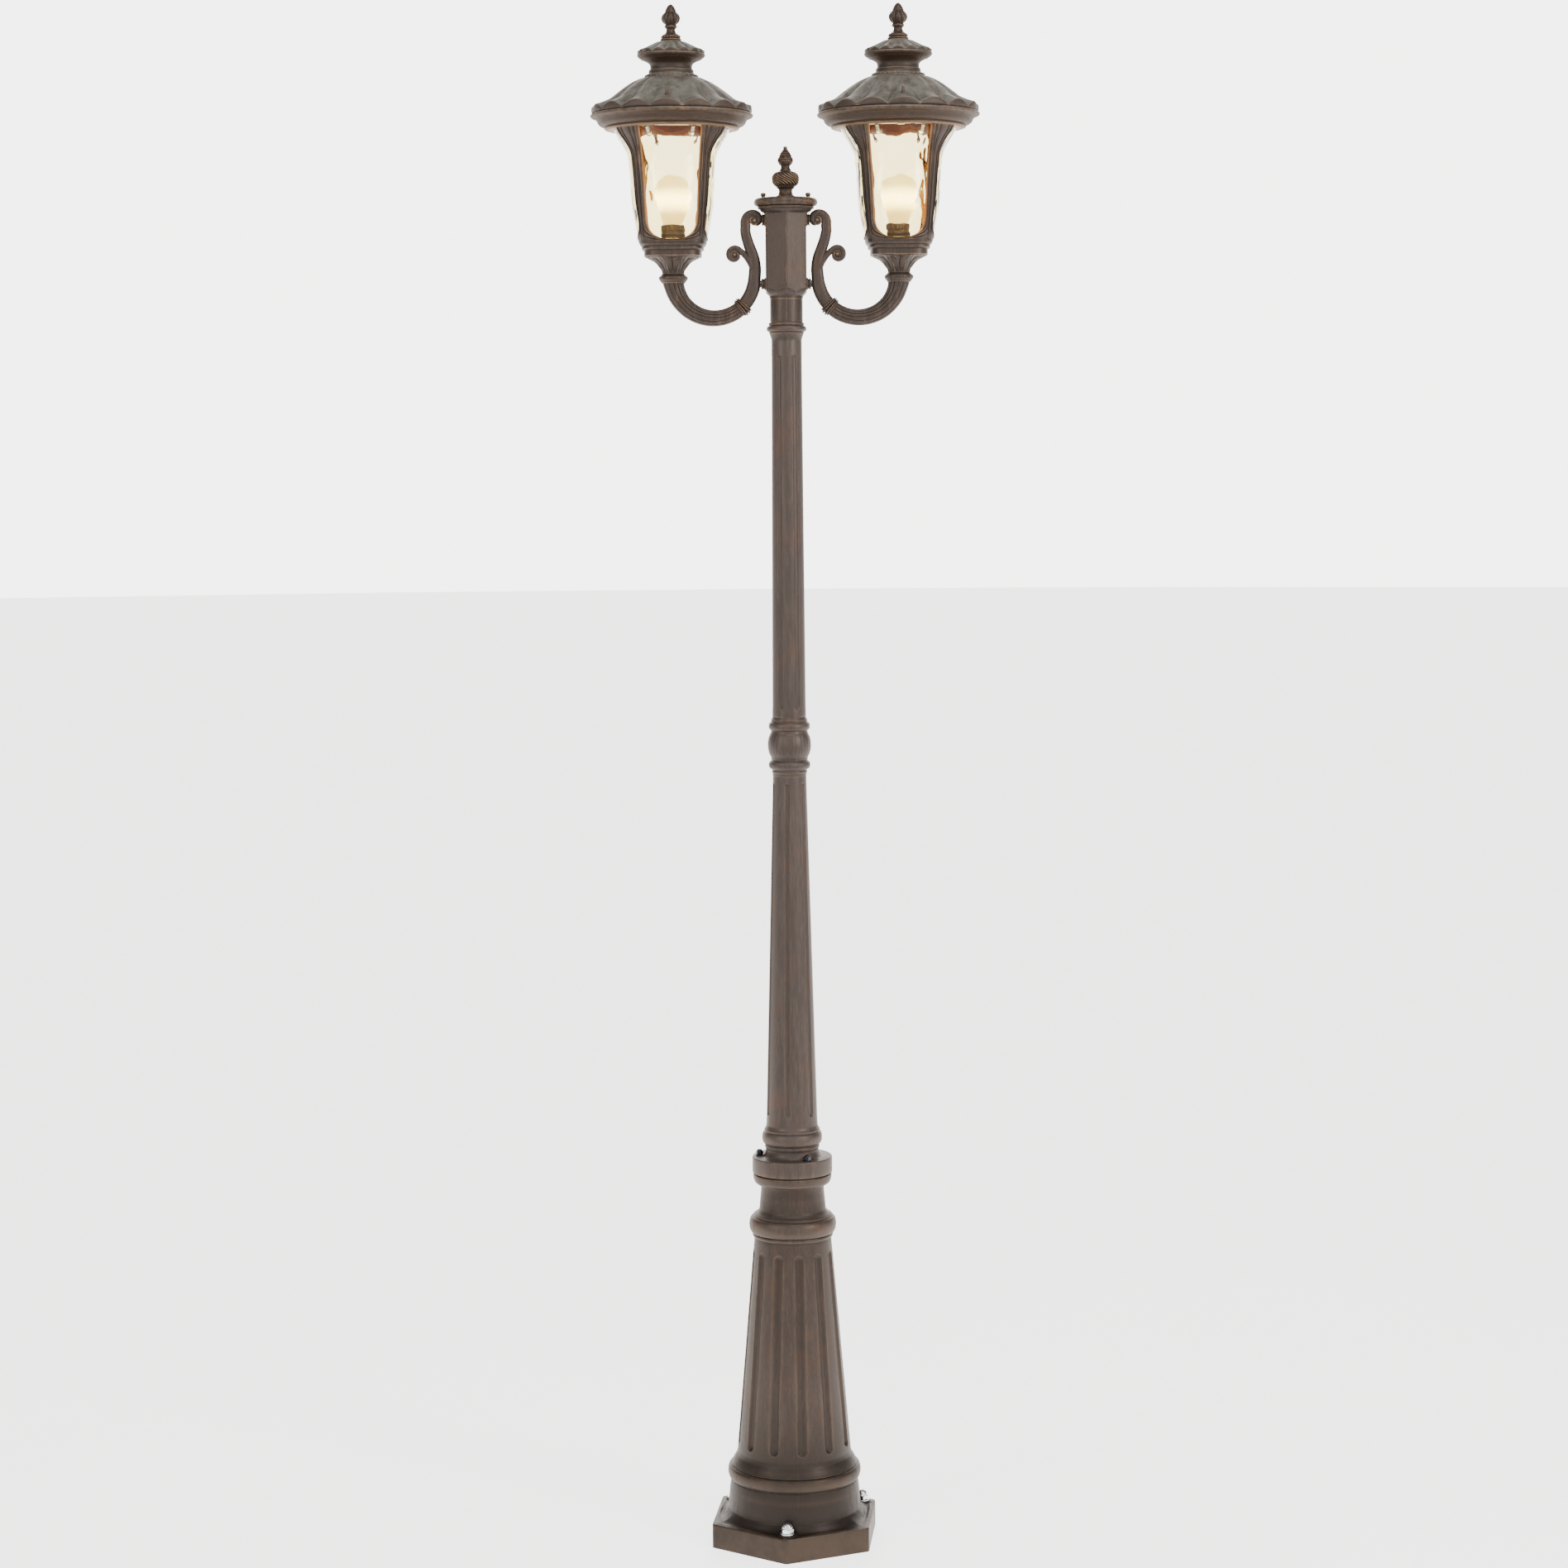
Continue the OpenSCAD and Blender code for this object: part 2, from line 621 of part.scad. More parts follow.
module roof_dome(side) {
    color(bronze) at_lantern(side) difference() {
        turned(roof_outline);
        turned([[102.4, roof_z - 1], [102.4, 228.3]]);
        turned([[94, 228], [94, 233], [110, 238], [121, 247], [121, 257], [108, 262.5], [96, 267],
                [78, 281.5], [66, 290], [50, 297]]);
        hole(stud_r + fit, 290, roof_top_z + 1);
        around(anchor_phi, roof_screw_r) {
            hole(2 + fit, 220, 280);
            hole(4.8, 271.6, 285);
        }
        around([for (k = [0:petals - 1]) 360 * (k + 0.5) / petals], 0)
            translate([0, -92, 277.5]) rotate([118, 0, 0]) cylinder(r = 2.6, h = 60, center = true);
    }
}

module roof_crown(side) {
    color(bronze) at_lantern(side) translate([0, 0, crown_z]) difference() {
        turned([[44.5, 0], [41.9, 3.6], [38.3, 7], [35, 11], [32.8, 16], [32.8, 19.5], [34.3, 23],
                [37, 26.5], [43.7, 30], [50.3, 34], [53, 38], [53.3, 42], [50, 46], [46, 48],
                [37, 51], [28, 56], [22, 58], [17, 60]]);
        turned([[40, -1], [38, 3], [34, 8], [29.5, 14], [29.5, 22], [34, 29], [46, 36], [48, 41],
                [43, 45], [33, 48], [24, 52.5]]);
        hole(stud_r + fit, 40, 62);
    }
}

module roof_screws(side) {
    color(steel) at_lantern(side) around(anchor_phi, roof_screw_r) {
        hole(2, roof_z - 8, 276);
        turned([[4.6, 271.6], [4.6, 273.2], [2.6, 274], [2.6, 280.5], [2, 281.5]]);
    }
}

module roof_stud(side) {
    color(dark_steel) at_lantern(side) {
        hole(stud_r, roof_top_z - 8, crown_top_z + 34);
        translate([0, 0, roof_top_z - 8]) cylinder(r = 7, h = 3.98, $fn = 6);
    }
}

module roof_finial(side) {
    color(gilt) at_lantern(side) translate([0, 0, crown_top_z + 0.3]) difference() {
        turned(concat([[16.5, 0.7], [14, 3.2], [15, 6], [14, 8.3], [9.5, 11], [7.2, 14],
            [6.75, 16], [8, 19], [9.75, 21], [9.3, 24]],
            bead(9.3, 34, 17, 5),
            [[8.7, 44], [7, 49], [3.5, 54], [0.6, 56.7]]));
        hole(stud_r + fit, 0, 36);
    }
}

// ---------- drawing ----------

base_pedestal();
anchor_washers();
anchor_cap_nuts();
flange_bolts();
base_splice();
supply_cable();
lower_shaft();
shaft_collar();
coupling_tube();
upper_shaft();
head_sleeve();
sleeve_screws();
hub_locknut();
arm_hub();
splice_block();
hub_cap();
hub_cap_screws();
hub_finial_stud();
hub_finial();
arm_scroll(-1);  // arm_scroll_left
arm_scroll(1);  // arm_scroll_right
arm_band(-1);  // arm_band_left
arm_band(1);  // arm_band_right
arm_bend(-1);  // arm_bend_left
arm_bend(1);  // arm_bend_right
arm_bosses(-1);  // arm_bosses_left
arm_bosses(1);  // arm_bosses_right
arm_fixings(-1);  // arm_fixings_left
arm_fixings(1);  // arm_fixings_right
lamp_lead(-1);  // lamp_lead_left
lamp_lead(1);  // lamp_lead_right
lantern_nipple(-1);  // lantern_nipple_left
lantern_nipple(1);  // lantern_nipple_right
lantern_locknut(-1);  // lantern_locknut_left
lantern_locknut(1);  // lantern_locknut_right
lantern_cup(-1);  // lantern_cup_left
lantern_cup(1);  // lantern_cup_right
lantern_cage(-1);  // lantern_cage_left
lantern_cage(1);  // lantern_cage_right
glass_panels(-1);  // glass_panels_left
glass_panels(1);  // glass_panels_right
glass_clips(-1);  // glass_clips_left
glass_clips(1);  // glass_clips_right
lamp_socket(-1);  // lamp_socket_left
lamp_socket(1);  // lamp_socket_right
bulb_cap(-1);  // bulb_cap_left
bulb_cap(1);  // bulb_cap_right
bulb_glass(-1);  // bulb_glass_left
bulb_glass(1);  // bulb_glass_right
roof_dome(-1);  // roof_dome_left
roof_dome(1);  // roof_dome_right
roof_crown(-1);  // roof_crown_left
roof_crown(1);  // roof_crown_right
roof_screws(-1);  // roof_screws_left
roof_screws(1);  // roof_screws_right
roof_stud(-1);  // roof_stud_left
roof_stud(1);  // roof_stud_right
roof_finial(-1);  // roof_finial_left
roof_finial(1);  // roof_finial_right
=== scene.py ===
"""Looks of the twin-lantern street lamp post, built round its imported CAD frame.

Shapes are worked out in millimetres and scaled to metres when a mesh is made.
Angles called phi are counted round a vertical axis from the front (-Y) towards +X.
"""

import json
from math import asin, ceil, copysign, cos, pi, radians, sin, sqrt

import bmesh
import bpy
import numpy as np
from mathutils import Euler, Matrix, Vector, noise


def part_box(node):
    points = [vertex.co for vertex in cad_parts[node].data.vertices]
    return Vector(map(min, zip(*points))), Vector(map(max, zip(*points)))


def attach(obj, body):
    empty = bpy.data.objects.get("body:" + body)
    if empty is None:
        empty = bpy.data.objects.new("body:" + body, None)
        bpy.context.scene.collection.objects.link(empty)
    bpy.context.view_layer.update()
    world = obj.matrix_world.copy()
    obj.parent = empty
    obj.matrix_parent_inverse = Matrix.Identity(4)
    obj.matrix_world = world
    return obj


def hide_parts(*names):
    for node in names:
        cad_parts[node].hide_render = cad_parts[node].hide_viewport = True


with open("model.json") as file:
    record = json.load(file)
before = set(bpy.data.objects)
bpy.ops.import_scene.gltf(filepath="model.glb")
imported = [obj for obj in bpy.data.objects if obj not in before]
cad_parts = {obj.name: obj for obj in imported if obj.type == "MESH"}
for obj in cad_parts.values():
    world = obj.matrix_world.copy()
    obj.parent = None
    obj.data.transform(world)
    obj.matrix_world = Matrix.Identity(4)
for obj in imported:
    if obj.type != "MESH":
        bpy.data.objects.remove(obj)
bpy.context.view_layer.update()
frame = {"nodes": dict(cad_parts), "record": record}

MM = 0.001
TAU = 2 * pi
SIDES = {"left": -1, "right": 1}
SLOT_OF = {part["node"]: part["material_slot"] for part in frame["record"]["subparts"]}
BODY_OF = {node: body for body, nodes in frame["record"]["behaviour"]["bodies"].items()
    for node in nodes}

# heights and places that the frame gives, in millimetres
z_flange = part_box("lower_shaft")[0].z / MM
z_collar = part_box("shaft_collar")[0].z / MM
z_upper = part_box("upper_shaft")[0].z / MM
z_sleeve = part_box("head_sleeve")[0].z / MM
z_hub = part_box("arm_hub")[0].z / MM
z_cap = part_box("arm_hub")[1].z / MM
z_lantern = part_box("lantern_cup_right")[0].z / MM
z_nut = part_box("anchor_cap_nuts")[0].z / MM
arm_reach = sum(corner.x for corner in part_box("lantern_cup_right")) / 2 / MM
bend_z = z_lantern - 6
bend_r = 64.0
bend_x = arm_reach - bend_r
hub_flat = 32.2
base_turn = radians(-5.7)


# ---------- outlines: lists of (radius, height) ----------

def bead(r, z, height, proud, steps=8):
    """Half-round moulding standing proud of radius r, its middle at height z."""
    turns = np.linspace(-pi / 2, pi / 2, steps + 1)
    return [(r + proud * cos(a), z + height / 2 * sin(a)) for a in turns]


def soften(points, radius=0.7, steps=3):
    """Rounds an outline's corners, by at most radius, as a casting's are."""
    pts = [Vector(p) for p in points]
    out = [pts[0]]
    for before, at, after in zip(pts, pts[1:], pts[2:]):
        to_before, to_after = before - at, after - at
        reach = min(radius, 0.4 * to_before.length, 0.4 * to_after.length)
        if reach < 1e-4 or to_before.angle(-to_after, 0) < 0.25:
            out.append(at)
            continue
        start = at + to_before.normalized() * reach
        end = at + to_after.normalized() * reach
        for k in range(steps + 1):
            t = k / steps
            out.append(start * (1 - t) ** 2 + at * 2 * t * (1 - t) + end * t ** 2)
    out.append(pts[-1])
    return [tuple(p) for p in out]


def smooth_line(points, steps=6):
    """Catmull-Rom curve through the points."""
    pts = [Vector(p) for p in points]
    padded = [2 * pts[0] - pts[1]] + pts + [2 * pts[-1] - pts[-2]]
    out = []
    for a, b, c, d in zip(padded, padded[1:], padded[2:], padded[3:]):
        for k in range(steps):
            t = k / steps
            out.append(0.5 * (2 * b + (c - a) * t + (2 * a - 5 * b + 4 * c - d) * t ** 2
                + (3 * b - a - 3 * c + d) * t ** 3))
    out.append(pts[-1])
    return [tuple(p) for p in out]


def dense(points, step):
    """Splits an outline's long stretches into pieces no longer than step."""
    out = [tuple(points[0])]
    for a, b in zip(points, points[1:]):
        a, b = np.array(a, float), np.array(b, float)
        n = max(1, ceil(np.linalg.norm(b - a) / step))
        out += [tuple(a + (b - a) * k / n) for k in range(1, n + 1)]
    return out


def domed(r, z, height, steps):
    """Quarter ellipse from radius r at height z up to the axis."""
    return [(r * cos(a), z + height * sin(a)) for a in np.linspace(0, pi / 2, steps)]


# ---------- meshes ----------

def grid_faces(rows, cols, wrap_rows=False, wrap_cols=True):
    """Quads of a grid of points stored row by row."""
    r = np.arange(rows if wrap_rows else rows - 1)[:, None]
    c = np.arange(cols if wrap_cols else cols - 1)[None, :]
    r1, c1 = (r + 1) % rows, (c + 1) % cols
    quads = np.stack([r * cols + c, r * cols + c1, r1 * cols + c1, r1 * cols + c], -1)
    return quads.reshape(-1, 4).tolist()


def joined(parts):
    """One (points, faces) pair from several."""
    verts, faces, base = [], [], 0
    for v, f in parts:
        verts.append(np.asarray(v, float).reshape(-1, 3))
        faces += [[i + base for i in face] for face in f]
        base += len(verts[-1])
    return np.vstack(verts), faces


def read_vectors(store, count, key):
    """An (n, 3) array of a mesh's points or normals."""
    values = np.empty(count * 3, np.float32)
    store.foreach_get(key, values)
    return values.reshape(-1, 3)


def write_mark(mesh, name, values):
    mark = mesh.attributes.new(name, "FLOAT", "POINT")
    mark.data.foreach_set("value", values.astype(np.float32))


def relief_marks(mesh, spread):
    """Marks each point with its curvature (1/mm, as "edge") and with how far it stands proud
    of its smoothed surroundings (mm, as "proud")."""
    n = len(mesh.vertices)
    co = read_vectors(mesh.vertices, n, "co").astype(float) / MM
    normals = read_vectors(mesh.vertex_normals, n, "vector")
    edges = np.empty(len(mesh.edges) * 2, np.int32)
    mesh.edges.foreach_get("vertices", edges)
    a, b = edges.reshape(-1, 2).T
    length = np.maximum(np.linalg.norm(co[a] - co[b], axis=1), 1e-2)

    def spread_out(value, weight):
        """Mean of each point's neighbours."""
        total = np.bincount(a, weight, n) + np.bincount(b, weight, n) + 1e-9
        return (np.bincount(a, weight * value[b], n) + np.bincount(b, weight * value[a], n)) / total

    lean = co[b] - co[a]
    bend = (np.bincount(a, -2 * np.einsum("ij,ij->i", lean, normals[a]) / length ** 2, n)
        + np.bincount(b, 2 * np.einsum("ij,ij->i", lean, normals[b]) / length ** 2, n))
    bend = np.clip(bend / np.maximum(np.bincount(a, None, n) + np.bincount(b, None, n), 1), -2, 2)
    for _ in range(2):
        bend = 0.5 * bend + 0.5 * spread_out(bend, 1 / length)

    smooth = co.copy()
    for _ in range(spread):
        for k in range(3):
            smooth[:, k] = 0.35 * smooth[:, k] + 0.65 * spread_out(smooth[:, k], 1 / length)
    proud = np.einsum("ij,ij->i", co - smooth, normals)
    write_mark(mesh, "edge", bend)
    write_mark(mesh, "proud", proud)


def piece(name, verts, faces, paint, node, angle=38, spread=6, stands_in=True):
    """A finished piece from points in millimetres: welded, shaded and marked. It rides with
    its CAD node and stands in for it."""
    mesh = bpy.data.meshes.new(name)
    mesh.from_pydata((np.asarray(verts, float) * MM).tolist(), [], faces)
    work = bmesh.new()
    work.from_mesh(mesh)
    bmesh.ops.remove_doubles(work, verts=work.verts, dist=1e-5)
    bmesh.ops.dissolve_degenerate(work, edges=work.edges, dist=1e-7)
    bmesh.ops.recalc_face_normals(work, faces=work.faces)
    work.to_mesh(mesh)
    work.free()
    mesh.shade_smooth()
    mesh.set_sharp_from_angle(angle=radians(angle))
    relief_marks(mesh, spread)
    mesh.materials.append(MAT[paint])
    obj = bpy.data.objects.new(name, mesh)
    bpy.context.scene.collection.objects.link(obj)
    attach(obj, BODY_OF[node])
    if stands_in:
        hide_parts(node)
    return obj


def mark_lamplit_inside(obj, wall):
    """Marks the points of a lantern's casting that lie inside it, which the bronze paints colour as
    painted lamplight. wall(phi, z) is the radius between its inner and outer faces."""
    co = read_vectors(obj.data.vertices, len(obj.data.vertices), "co")
    x, y, z = co.T.astype(float) / MM
    x = np.abs(x) - arm_reach
    z = z - z_lantern
    inside = (np.hypot(x, y) < wall(np.arctan2(x, -y), z)) & (z > 45)
    write_mark(obj.data, "inside", inside)


def ring_points(phi, r, z):
    """Points at radius r and height z in the direction phi."""
    return np.stack([r * np.sin(phi), -r * np.cos(phi), z], -1).reshape(-1, 3)


def both_ways(relief):
    """A relief as (dr, dz), where it may give dr alone."""
    return relief if isinstance(relief, tuple) else (relief, 0)


def turned(section, segs=128, relief=None, hollow=False, base=0.0, plan=None):
    """Points and faces of a turned section. relief gives dr, or (dr, dz), from phi, r and z;
    plan multiplies the radius by a function of phi and z, for forms that aren't round; the
    section of a hollow form is a loop."""
    pts = np.array(section, float)
    r, z = pts[:, :1], pts[:, 1:2]
    phi = np.arange(segs)[None, :] * TAU / segs
    rr, zz = np.broadcast_to(r, (len(pts), segs)), np.broadcast_to(z, (len(pts), segs))
    if relief is not None:
        rows = np.arange(len(pts))[:, None] / max(len(pts) - 1, 1)
        dr, dz = both_ways(relief(phi, r, z, rows))
        rr, zz = rr + dr, zz + dz
    if plan is not None:
        rr = rr * plan(phi, z)
    return ring_points(phi, rr, zz + base), grid_faces(len(pts), segs, wrap_rows=hollow)


def swept(sections):
    """A bar through a list of closed sections, each an (n, 3) array of points."""
    rows, cols = len(sections), len(sections[0])
    faces = grid_faces(rows, cols)
    faces.append(list(range(cols))[::-1])
    faces.append([(rows - 1) * cols + k for k in range(cols)])
    return np.vstack(sections), faces


def sheet_pair(rows, cols):
    """Faces of two like grids of points, the second turned to face the other way."""
    faces = grid_faces(rows, cols, wrap_cols=False)
    return faces + [[i + rows * cols for i in f][::-1] for f in faces]


def rotated(verts, angle):
    """Points turned by phi about the vertical axis."""
    x, y, z = np.array(verts, float).T
    c, s = cos(angle), sin(angle)
    return np.stack([x * c - y * s, x * s + y * c, z], 1)


def moved(verts, x=0.0, y=0.0, z=0.0):
    return np.asarray(verts, float) + np.array([x, y, z])


def side_piece(stem, name, verts, faces, paint, node, **finish):
    """A piece drawn for the right-hand side, mirrored if name is left."""
    placed = np.array(verts, float)
    placed[:, 0] *= SIDES[name]
    return piece(f"{stem}_{name}", placed, faces, paint, f"{node}_{name}", **finish)


def lantern_piece(stem, name, verts, *rest, **finish):
    """A piece drawn round the lantern's axis, from its foot up."""
    return side_piece(stem, name, moved(verts, arm_reach, 0, z_lantern), *rest, **finish)


# ---------- reliefs ----------

def hump(x, width, power=2):
    """1 where x is 0, falling to nothing within a few widths on either side."""
    return np.exp(-(x / width) ** power)


def part(x):
    return np.clip(x, 0, 1)


def wrapped(phi, count, phase=0.0):
    """Place across the nearest of count equal sectors, from -1 to 1, 0 in its middle."""
    t = (phi - phase) * count / TAU
    return 2 * (t - np.round(t))


def flute_relief(count, phase, z0, z1, width, depth):
    """Round-ended flutes cut into a shaft between heights z0 and z1."""
    half = width / 2

    def relief(phi, r, z, rows):
        across = wrapped(phi, count, phase) * pi / count * r
        along = np.maximum(np.maximum(z0 + half - z, z - (z1 - half)), 0)
        reach = np.sqrt(across ** 2 + along ** 2) / half
        bowl = np.clip(1 - reach ** 2, 0, None)
        lip = 0.18 * hump(reach - 1.12, 0.12)
        return -depth * bowl ** 0.8 + lip * (r > 0)
    return relief


def fine_near(points, heights, reach=9.0, step=1.3):
    """Adds rows to an outline where relief begins or ends."""
    out = []
    for (r0, z0), (r1, z1) in zip(points, points[1:]):
        out.append((r0, z0))
        if abs(z1 - z0) < step:
            continue
        marks = [z for h in heights for z in np.arange(h - reach, h + reach, step)]
        low, high = min(z0, z1), max(z0, z1)
        marks = sorted({round(m, 3) for m in marks if low + 0.3 < m < high - 0.3}, reverse=z1 < z0)
        out += [(r0 + (r1 - r0) * (m - z0) / (z1 - z0), m) for m in marks]
    out.append(points[-1])
    return out


# ---------- materials ----------

def smooth_range(tree, value, *ends):
    """A node that eases from one range to another: ends are its from and to limits."""
    node = tree.nodes.new("ShaderNodeMapRange")
    node.interpolation_type = "SMOOTHSTEP"
    tree.links.new(value, node.inputs["Value"])
    for key, end in zip(("From Min", "From Max", "To Min", "To Max"), ends):
        node.inputs[key].default_value = end
    return node.outputs["Result"]


class Nodes:
    """Short hand for building a material's node tree."""

    def __init__(self, name):
        self.material = bpy.data.materials.new(name)
        self.material.use_nodes = True
        self.tree = self.material.node_tree
        self.shader = self.tree.nodes["Principled BSDF"]
        self.place = self.add("ShaderNodeTexCoord").outputs["Object"]

    def add(self, kind, **inputs):
        node = self.tree.nodes.new(kind)
        for key, value in inputs.items():
            if hasattr(node, key):
                setattr(node, key, value)
            else:
                self.set(node, key, value)
        return node

    def set(self, node, key, value):
        socket = node.inputs[key]
        if isinstance(value, bpy.types.NodeSocket):
            self.tree.links.new(value, socket)
        else:
            socket.default_value = value

    def give(self, key, value):
        self.set(self.shader, key, value)

    def times(self, a, b, clamp=False):
        return self.math("MULTIPLY", a, b, clamp)

    def plus(self, a, b):
        return self.math("ADD", a, b)

    def math(self, operation, a, b=0.5, clamp=False):
        node = self.add("ShaderNodeMath", operation=operation, use_clamp=clamp)
        for k, value in enumerate((a, b)):
            self.set(node, k, value)
        return node.outputs[0]

    def stretched(self, scale):
        return self.add("ShaderNodeMapping", Vector=self.place, Scale=scale).outputs[0]

    def noise(self, scale, detail=4.0, rough=0.55, stretch=(1, 1, 1)):
        return self.add("ShaderNodeTexNoise", Vector=self.stretched(stretch), Scale=scale,
            Detail=detail, Roughness=rough).outputs["Fac"]

    def ramp(self, value, low, high, to_low=0.0, to_high=1.0):
        return smooth_range(self.tree, value, low, high, to_low, to_high)

    def mix(self, factor, a, b):
        node = self.add("ShaderNodeMix", data_type="RGBA")
        self.set(node, 0, factor)
        for k, value in ((6, a), (7, b)):
            self.set(node, k, value if isinstance(value, bpy.types.NodeSocket) else (*value, 1))
        return node.outputs[2]

    def bump(self, height, strength, distance):
        node = self.add("ShaderNodeBump", Height=height, Strength=strength, Distance=distance)
        self.give("Normal", node.outputs[0])

    def mark(self, name):
        """A value stored on the mesh: "edge", "proud" or "inside"."""
        return self.add("ShaderNodeAttribute", attribute_name=name).outputs["Fac"]

    def upward(self, vector=None):
        """The Z part of a vector, or of the place on the object."""
        return self.add("ShaderNodeSeparateXYZ", Vector=vector or self.place).outputs["Z"]


def bronze(name, base, streak, gold, gilt=1.0, wash=None, metal=0.36, rough=0.44):
    """Hand-rubbed bronze paint: brushed streaks, gilt on the worn edges, dirt and painted shade
    in the hollows, painted highlight on proud parts, painted shade towards the foot and, on
    washed paints, on faces turned down, and painted lamplight inside the lanterns.
    """
    m = Nodes(name)
    fine = m.noise(900, 3, 0.6, (1, 1, 0.045))
    broad = m.noise(120, 4, 0.6, (1, 1, 0.1))
    cloud = m.noise(22, 4, 0.6)
    streaks = m.ramp(m.plus(m.times(fine, 0.6), m.times(broad, 0.4)), 0.42, 0.66)
    colour = m.mix(m.times(streaks, 0.4), base, streak)
    warm = tuple(c * k for c, k in zip(base, (1.5, 1.15, 0.95)))
    colour = m.mix(m.ramp(cloud, 0.5, 0.75, 0, 0.55), colour, warm)
    # painted shade: the colour darkens towards the foot, below 0.27 m
    colour = m.mix(m.ramp(m.upward(), 0.27, 0.08, 0, 0.85), colour, tuple(c * 0.3 for c in base))
    if wash is not None:
        facing = m.upward(m.add("ShaderNodeNewGeometry").outputs["Normal"])
        up = m.ramp(facing, 0.25, 0.8)
        patchy = m.ramp(m.noise(60, 5, 0.65, (1, 1, 0.4)), 0.3, 0.62, 0.35, 1.0)
        colour = m.mix(m.times(m.times(up, patchy), 0.92), colour, wash)
        # painted shade: faces turned down are painted a darker, browner bronze
        under = m.ramp(facing, -0.3, -0.75)
        colour = m.mix(under, colour, (0.052, 0.033, 0.022))
    proud = m.mark("proud")
    edge = m.mark("edge")
    # painted shade and dirt: hollows, creases and points lower than their surroundings are darkened
    hollow = m.ramp(m.times(edge, -1.0), 0.08, 0.5)
    low = m.math("MAXIMUM", m.ramp(m.times(proud, -1.0), 0.1, 0.6, 0, 0.6), hollow)
    colour = m.mix(m.times(low, 0.36), colour, tuple(c * 0.3 for c in base))
    # gilt rubbed through on sharp edges, plus painted highlight: parts that stand proud of their
    # surroundings are gilt as well
    worn = m.plus(edge, m.times(m.math("SUBTRACT", broad, 0.5), 0.5))
    rubbed = m.plus(m.ramp(worn, 0.12, 0.5), m.ramp(proud, 0.25, 1.2, 0, 0.35))
    rubbed = m.times(rubbed, m.ramp(cloud, 0.3, 0.6, 0.4, 1.0))
    rubbed = m.times(rubbed, gilt, clamp=True)
    colour = m.mix(rubbed, colour, gold)
    # painted lamplight: the inner faces of the lanterns are painted bright copper, standing in for the
    # bulb's light on them
    colour = m.mix(m.mark("inside"), colour, (0.62, 0.31, 0.16))
    m.give("Base Color", colour)
    m.give("Metallic", metal)
    m.give("Specular IOR Level", 0.3)
    m.give("Specular Tint", (0.7, 0.62, 0.56, 1))
    m.give("Roughness", m.ramp(streaks, 0, 1, rough - 0.05, rough + 0.12))
    m.bump(m.plus(m.times(fine, 0.5), m.times(m.noise(350, 4), 0.5)), 0.22, 0.0006)
    return m.material


def plated(name, colour, rough=0.16, scratch=0.25):
    """Plated steel with fine handling marks."""
    m = Nodes(name)
    marks = m.noise(700, 5, 0.7, (1, 0.2, 1))
    spots = m.noise(90, 3, 0.6)
    m.give("Base Color", m.mix(m.ramp(spots, 0.45, 0.7, 0, 0.5), colour,
        tuple(c * 0.62 for c in colour)))
    m.give("Metallic", 1.0)
    m.give("Roughness", m.ramp(marks, 0.3, 0.8, rough, rough + scratch))
    m.bump(marks, 0.08, 0.0003)
    return m.material


def plastic(name, colour, rough=0.4):
    """Moulded plastic or rubber with a fine grain."""
    m = Nodes(name)
    grain = m.noise(600, 4, 0.6)
    m.give("Base Color", m.mix(m.ramp(m.noise(40, 3), 0.4, 0.7, 0, 0.4), colour,
        tuple(c * 0.7 for c in colour)))
    m.give("Roughness", m.ramp(grain, 0.3, 0.8, rough, rough + 0.15))
    m.bump(grain, 0.15, 0.0003)
    return m.material


def amber_glass(name):
    """Champagne glass, rippled as hand-made water glass is, amber where it is seen edge on."""
    m = Nodes(name)
    m.give("Base Color", m.mix(m.ramp(m.noise(30, 3), 0.35, 0.7, 0, 1), (0.98, 0.955, 0.82),
        (0.97, 0.935, 0.75)))
    m.give("Transmission Weight", 1.0)
    m.give("IOR", 1.45)
    m.give("Roughness", m.ramp(m.noise(200, 3), 0.3, 0.8, 0.0, 0.03))
    m.bump(m.noise(70, 2, 0.5, (1, 1, 0.6)), 0.12, 0.0012)
    body = m.add("ShaderNodeVolumeAbsorption", Color=(0.985, 0.87, 0.42, 1), Density=150.0)
    m.set(m.tree.nodes["Material Output"], "Volume", body.outputs[0])
    return m.material


def lit_bulb(name):
    """Frosted lamp glass, lit from inside: brightest round its middle, amber at its neck."""
    m = Nodes(name)
    height = m.upward()
    low, high = (corner.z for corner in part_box("bulb_glass_right"))
    rise = m.ramp(height, low + 0.005, high - 0.04)
    mottle = m.ramp(m.noise(120, 4, 0.6), 0.35, 0.7)
    glow = m.mix(m.math("SUBTRACT", rise, m.times(mottle, 0.3), clamp=True), (1.0, 0.74, 0.28),
        (1.0, 0.82, 0.34))
    m.give("Base Color", glow)
    m.give("Emission Color", glow)
    belt = m.ramp(m.math("ABSOLUTE", m.math("SUBTRACT", height, high - 0.04)), 0.0, 0.024, 8.0, 0.0)
    m.give("Emission Strength", m.plus(m.ramp(rise, 0, 0.8, 2.3, 2.9), belt))
    m.give("Roughness", m.ramp(m.noise(300, 3), 0.3, 0.8, 0.3, 0.5))
    return m.material


def studio_floor(name):
    """Pale floor, lit up behind the post."""
    m = Nodes(name)
    pale = m.mix(m.ramp(m.noise(3, 3), 0.3, 0.7, 0, 1), (0.86, 0.855, 0.84), (0.88, 0.875, 0.865))
    back = m.ramp(m.add("ShaderNodeSeparateXYZ", Vector=m.place).outputs["Y"], -1.3, -0.2)
    m.give("Base Color", m.mix(back, (0.58, 0.575, 0.565), pale))
    m.give("Roughness", 0.6)
    m.give("Emission Color", (1.0, 0.995, 0.985, 1))
    m.give("Emission Strength", m.ramp(back, 0.0, 1.0, 0.05, 2.5))
    return m.material


BRONZE = (0.053, 0.0405, 0.0345)
STREAK = (0.098, 0.074, 0.060)
GOLD = (0.29, 0.185, 0.11)
WASH = (0.205, 0.194, 0.165)

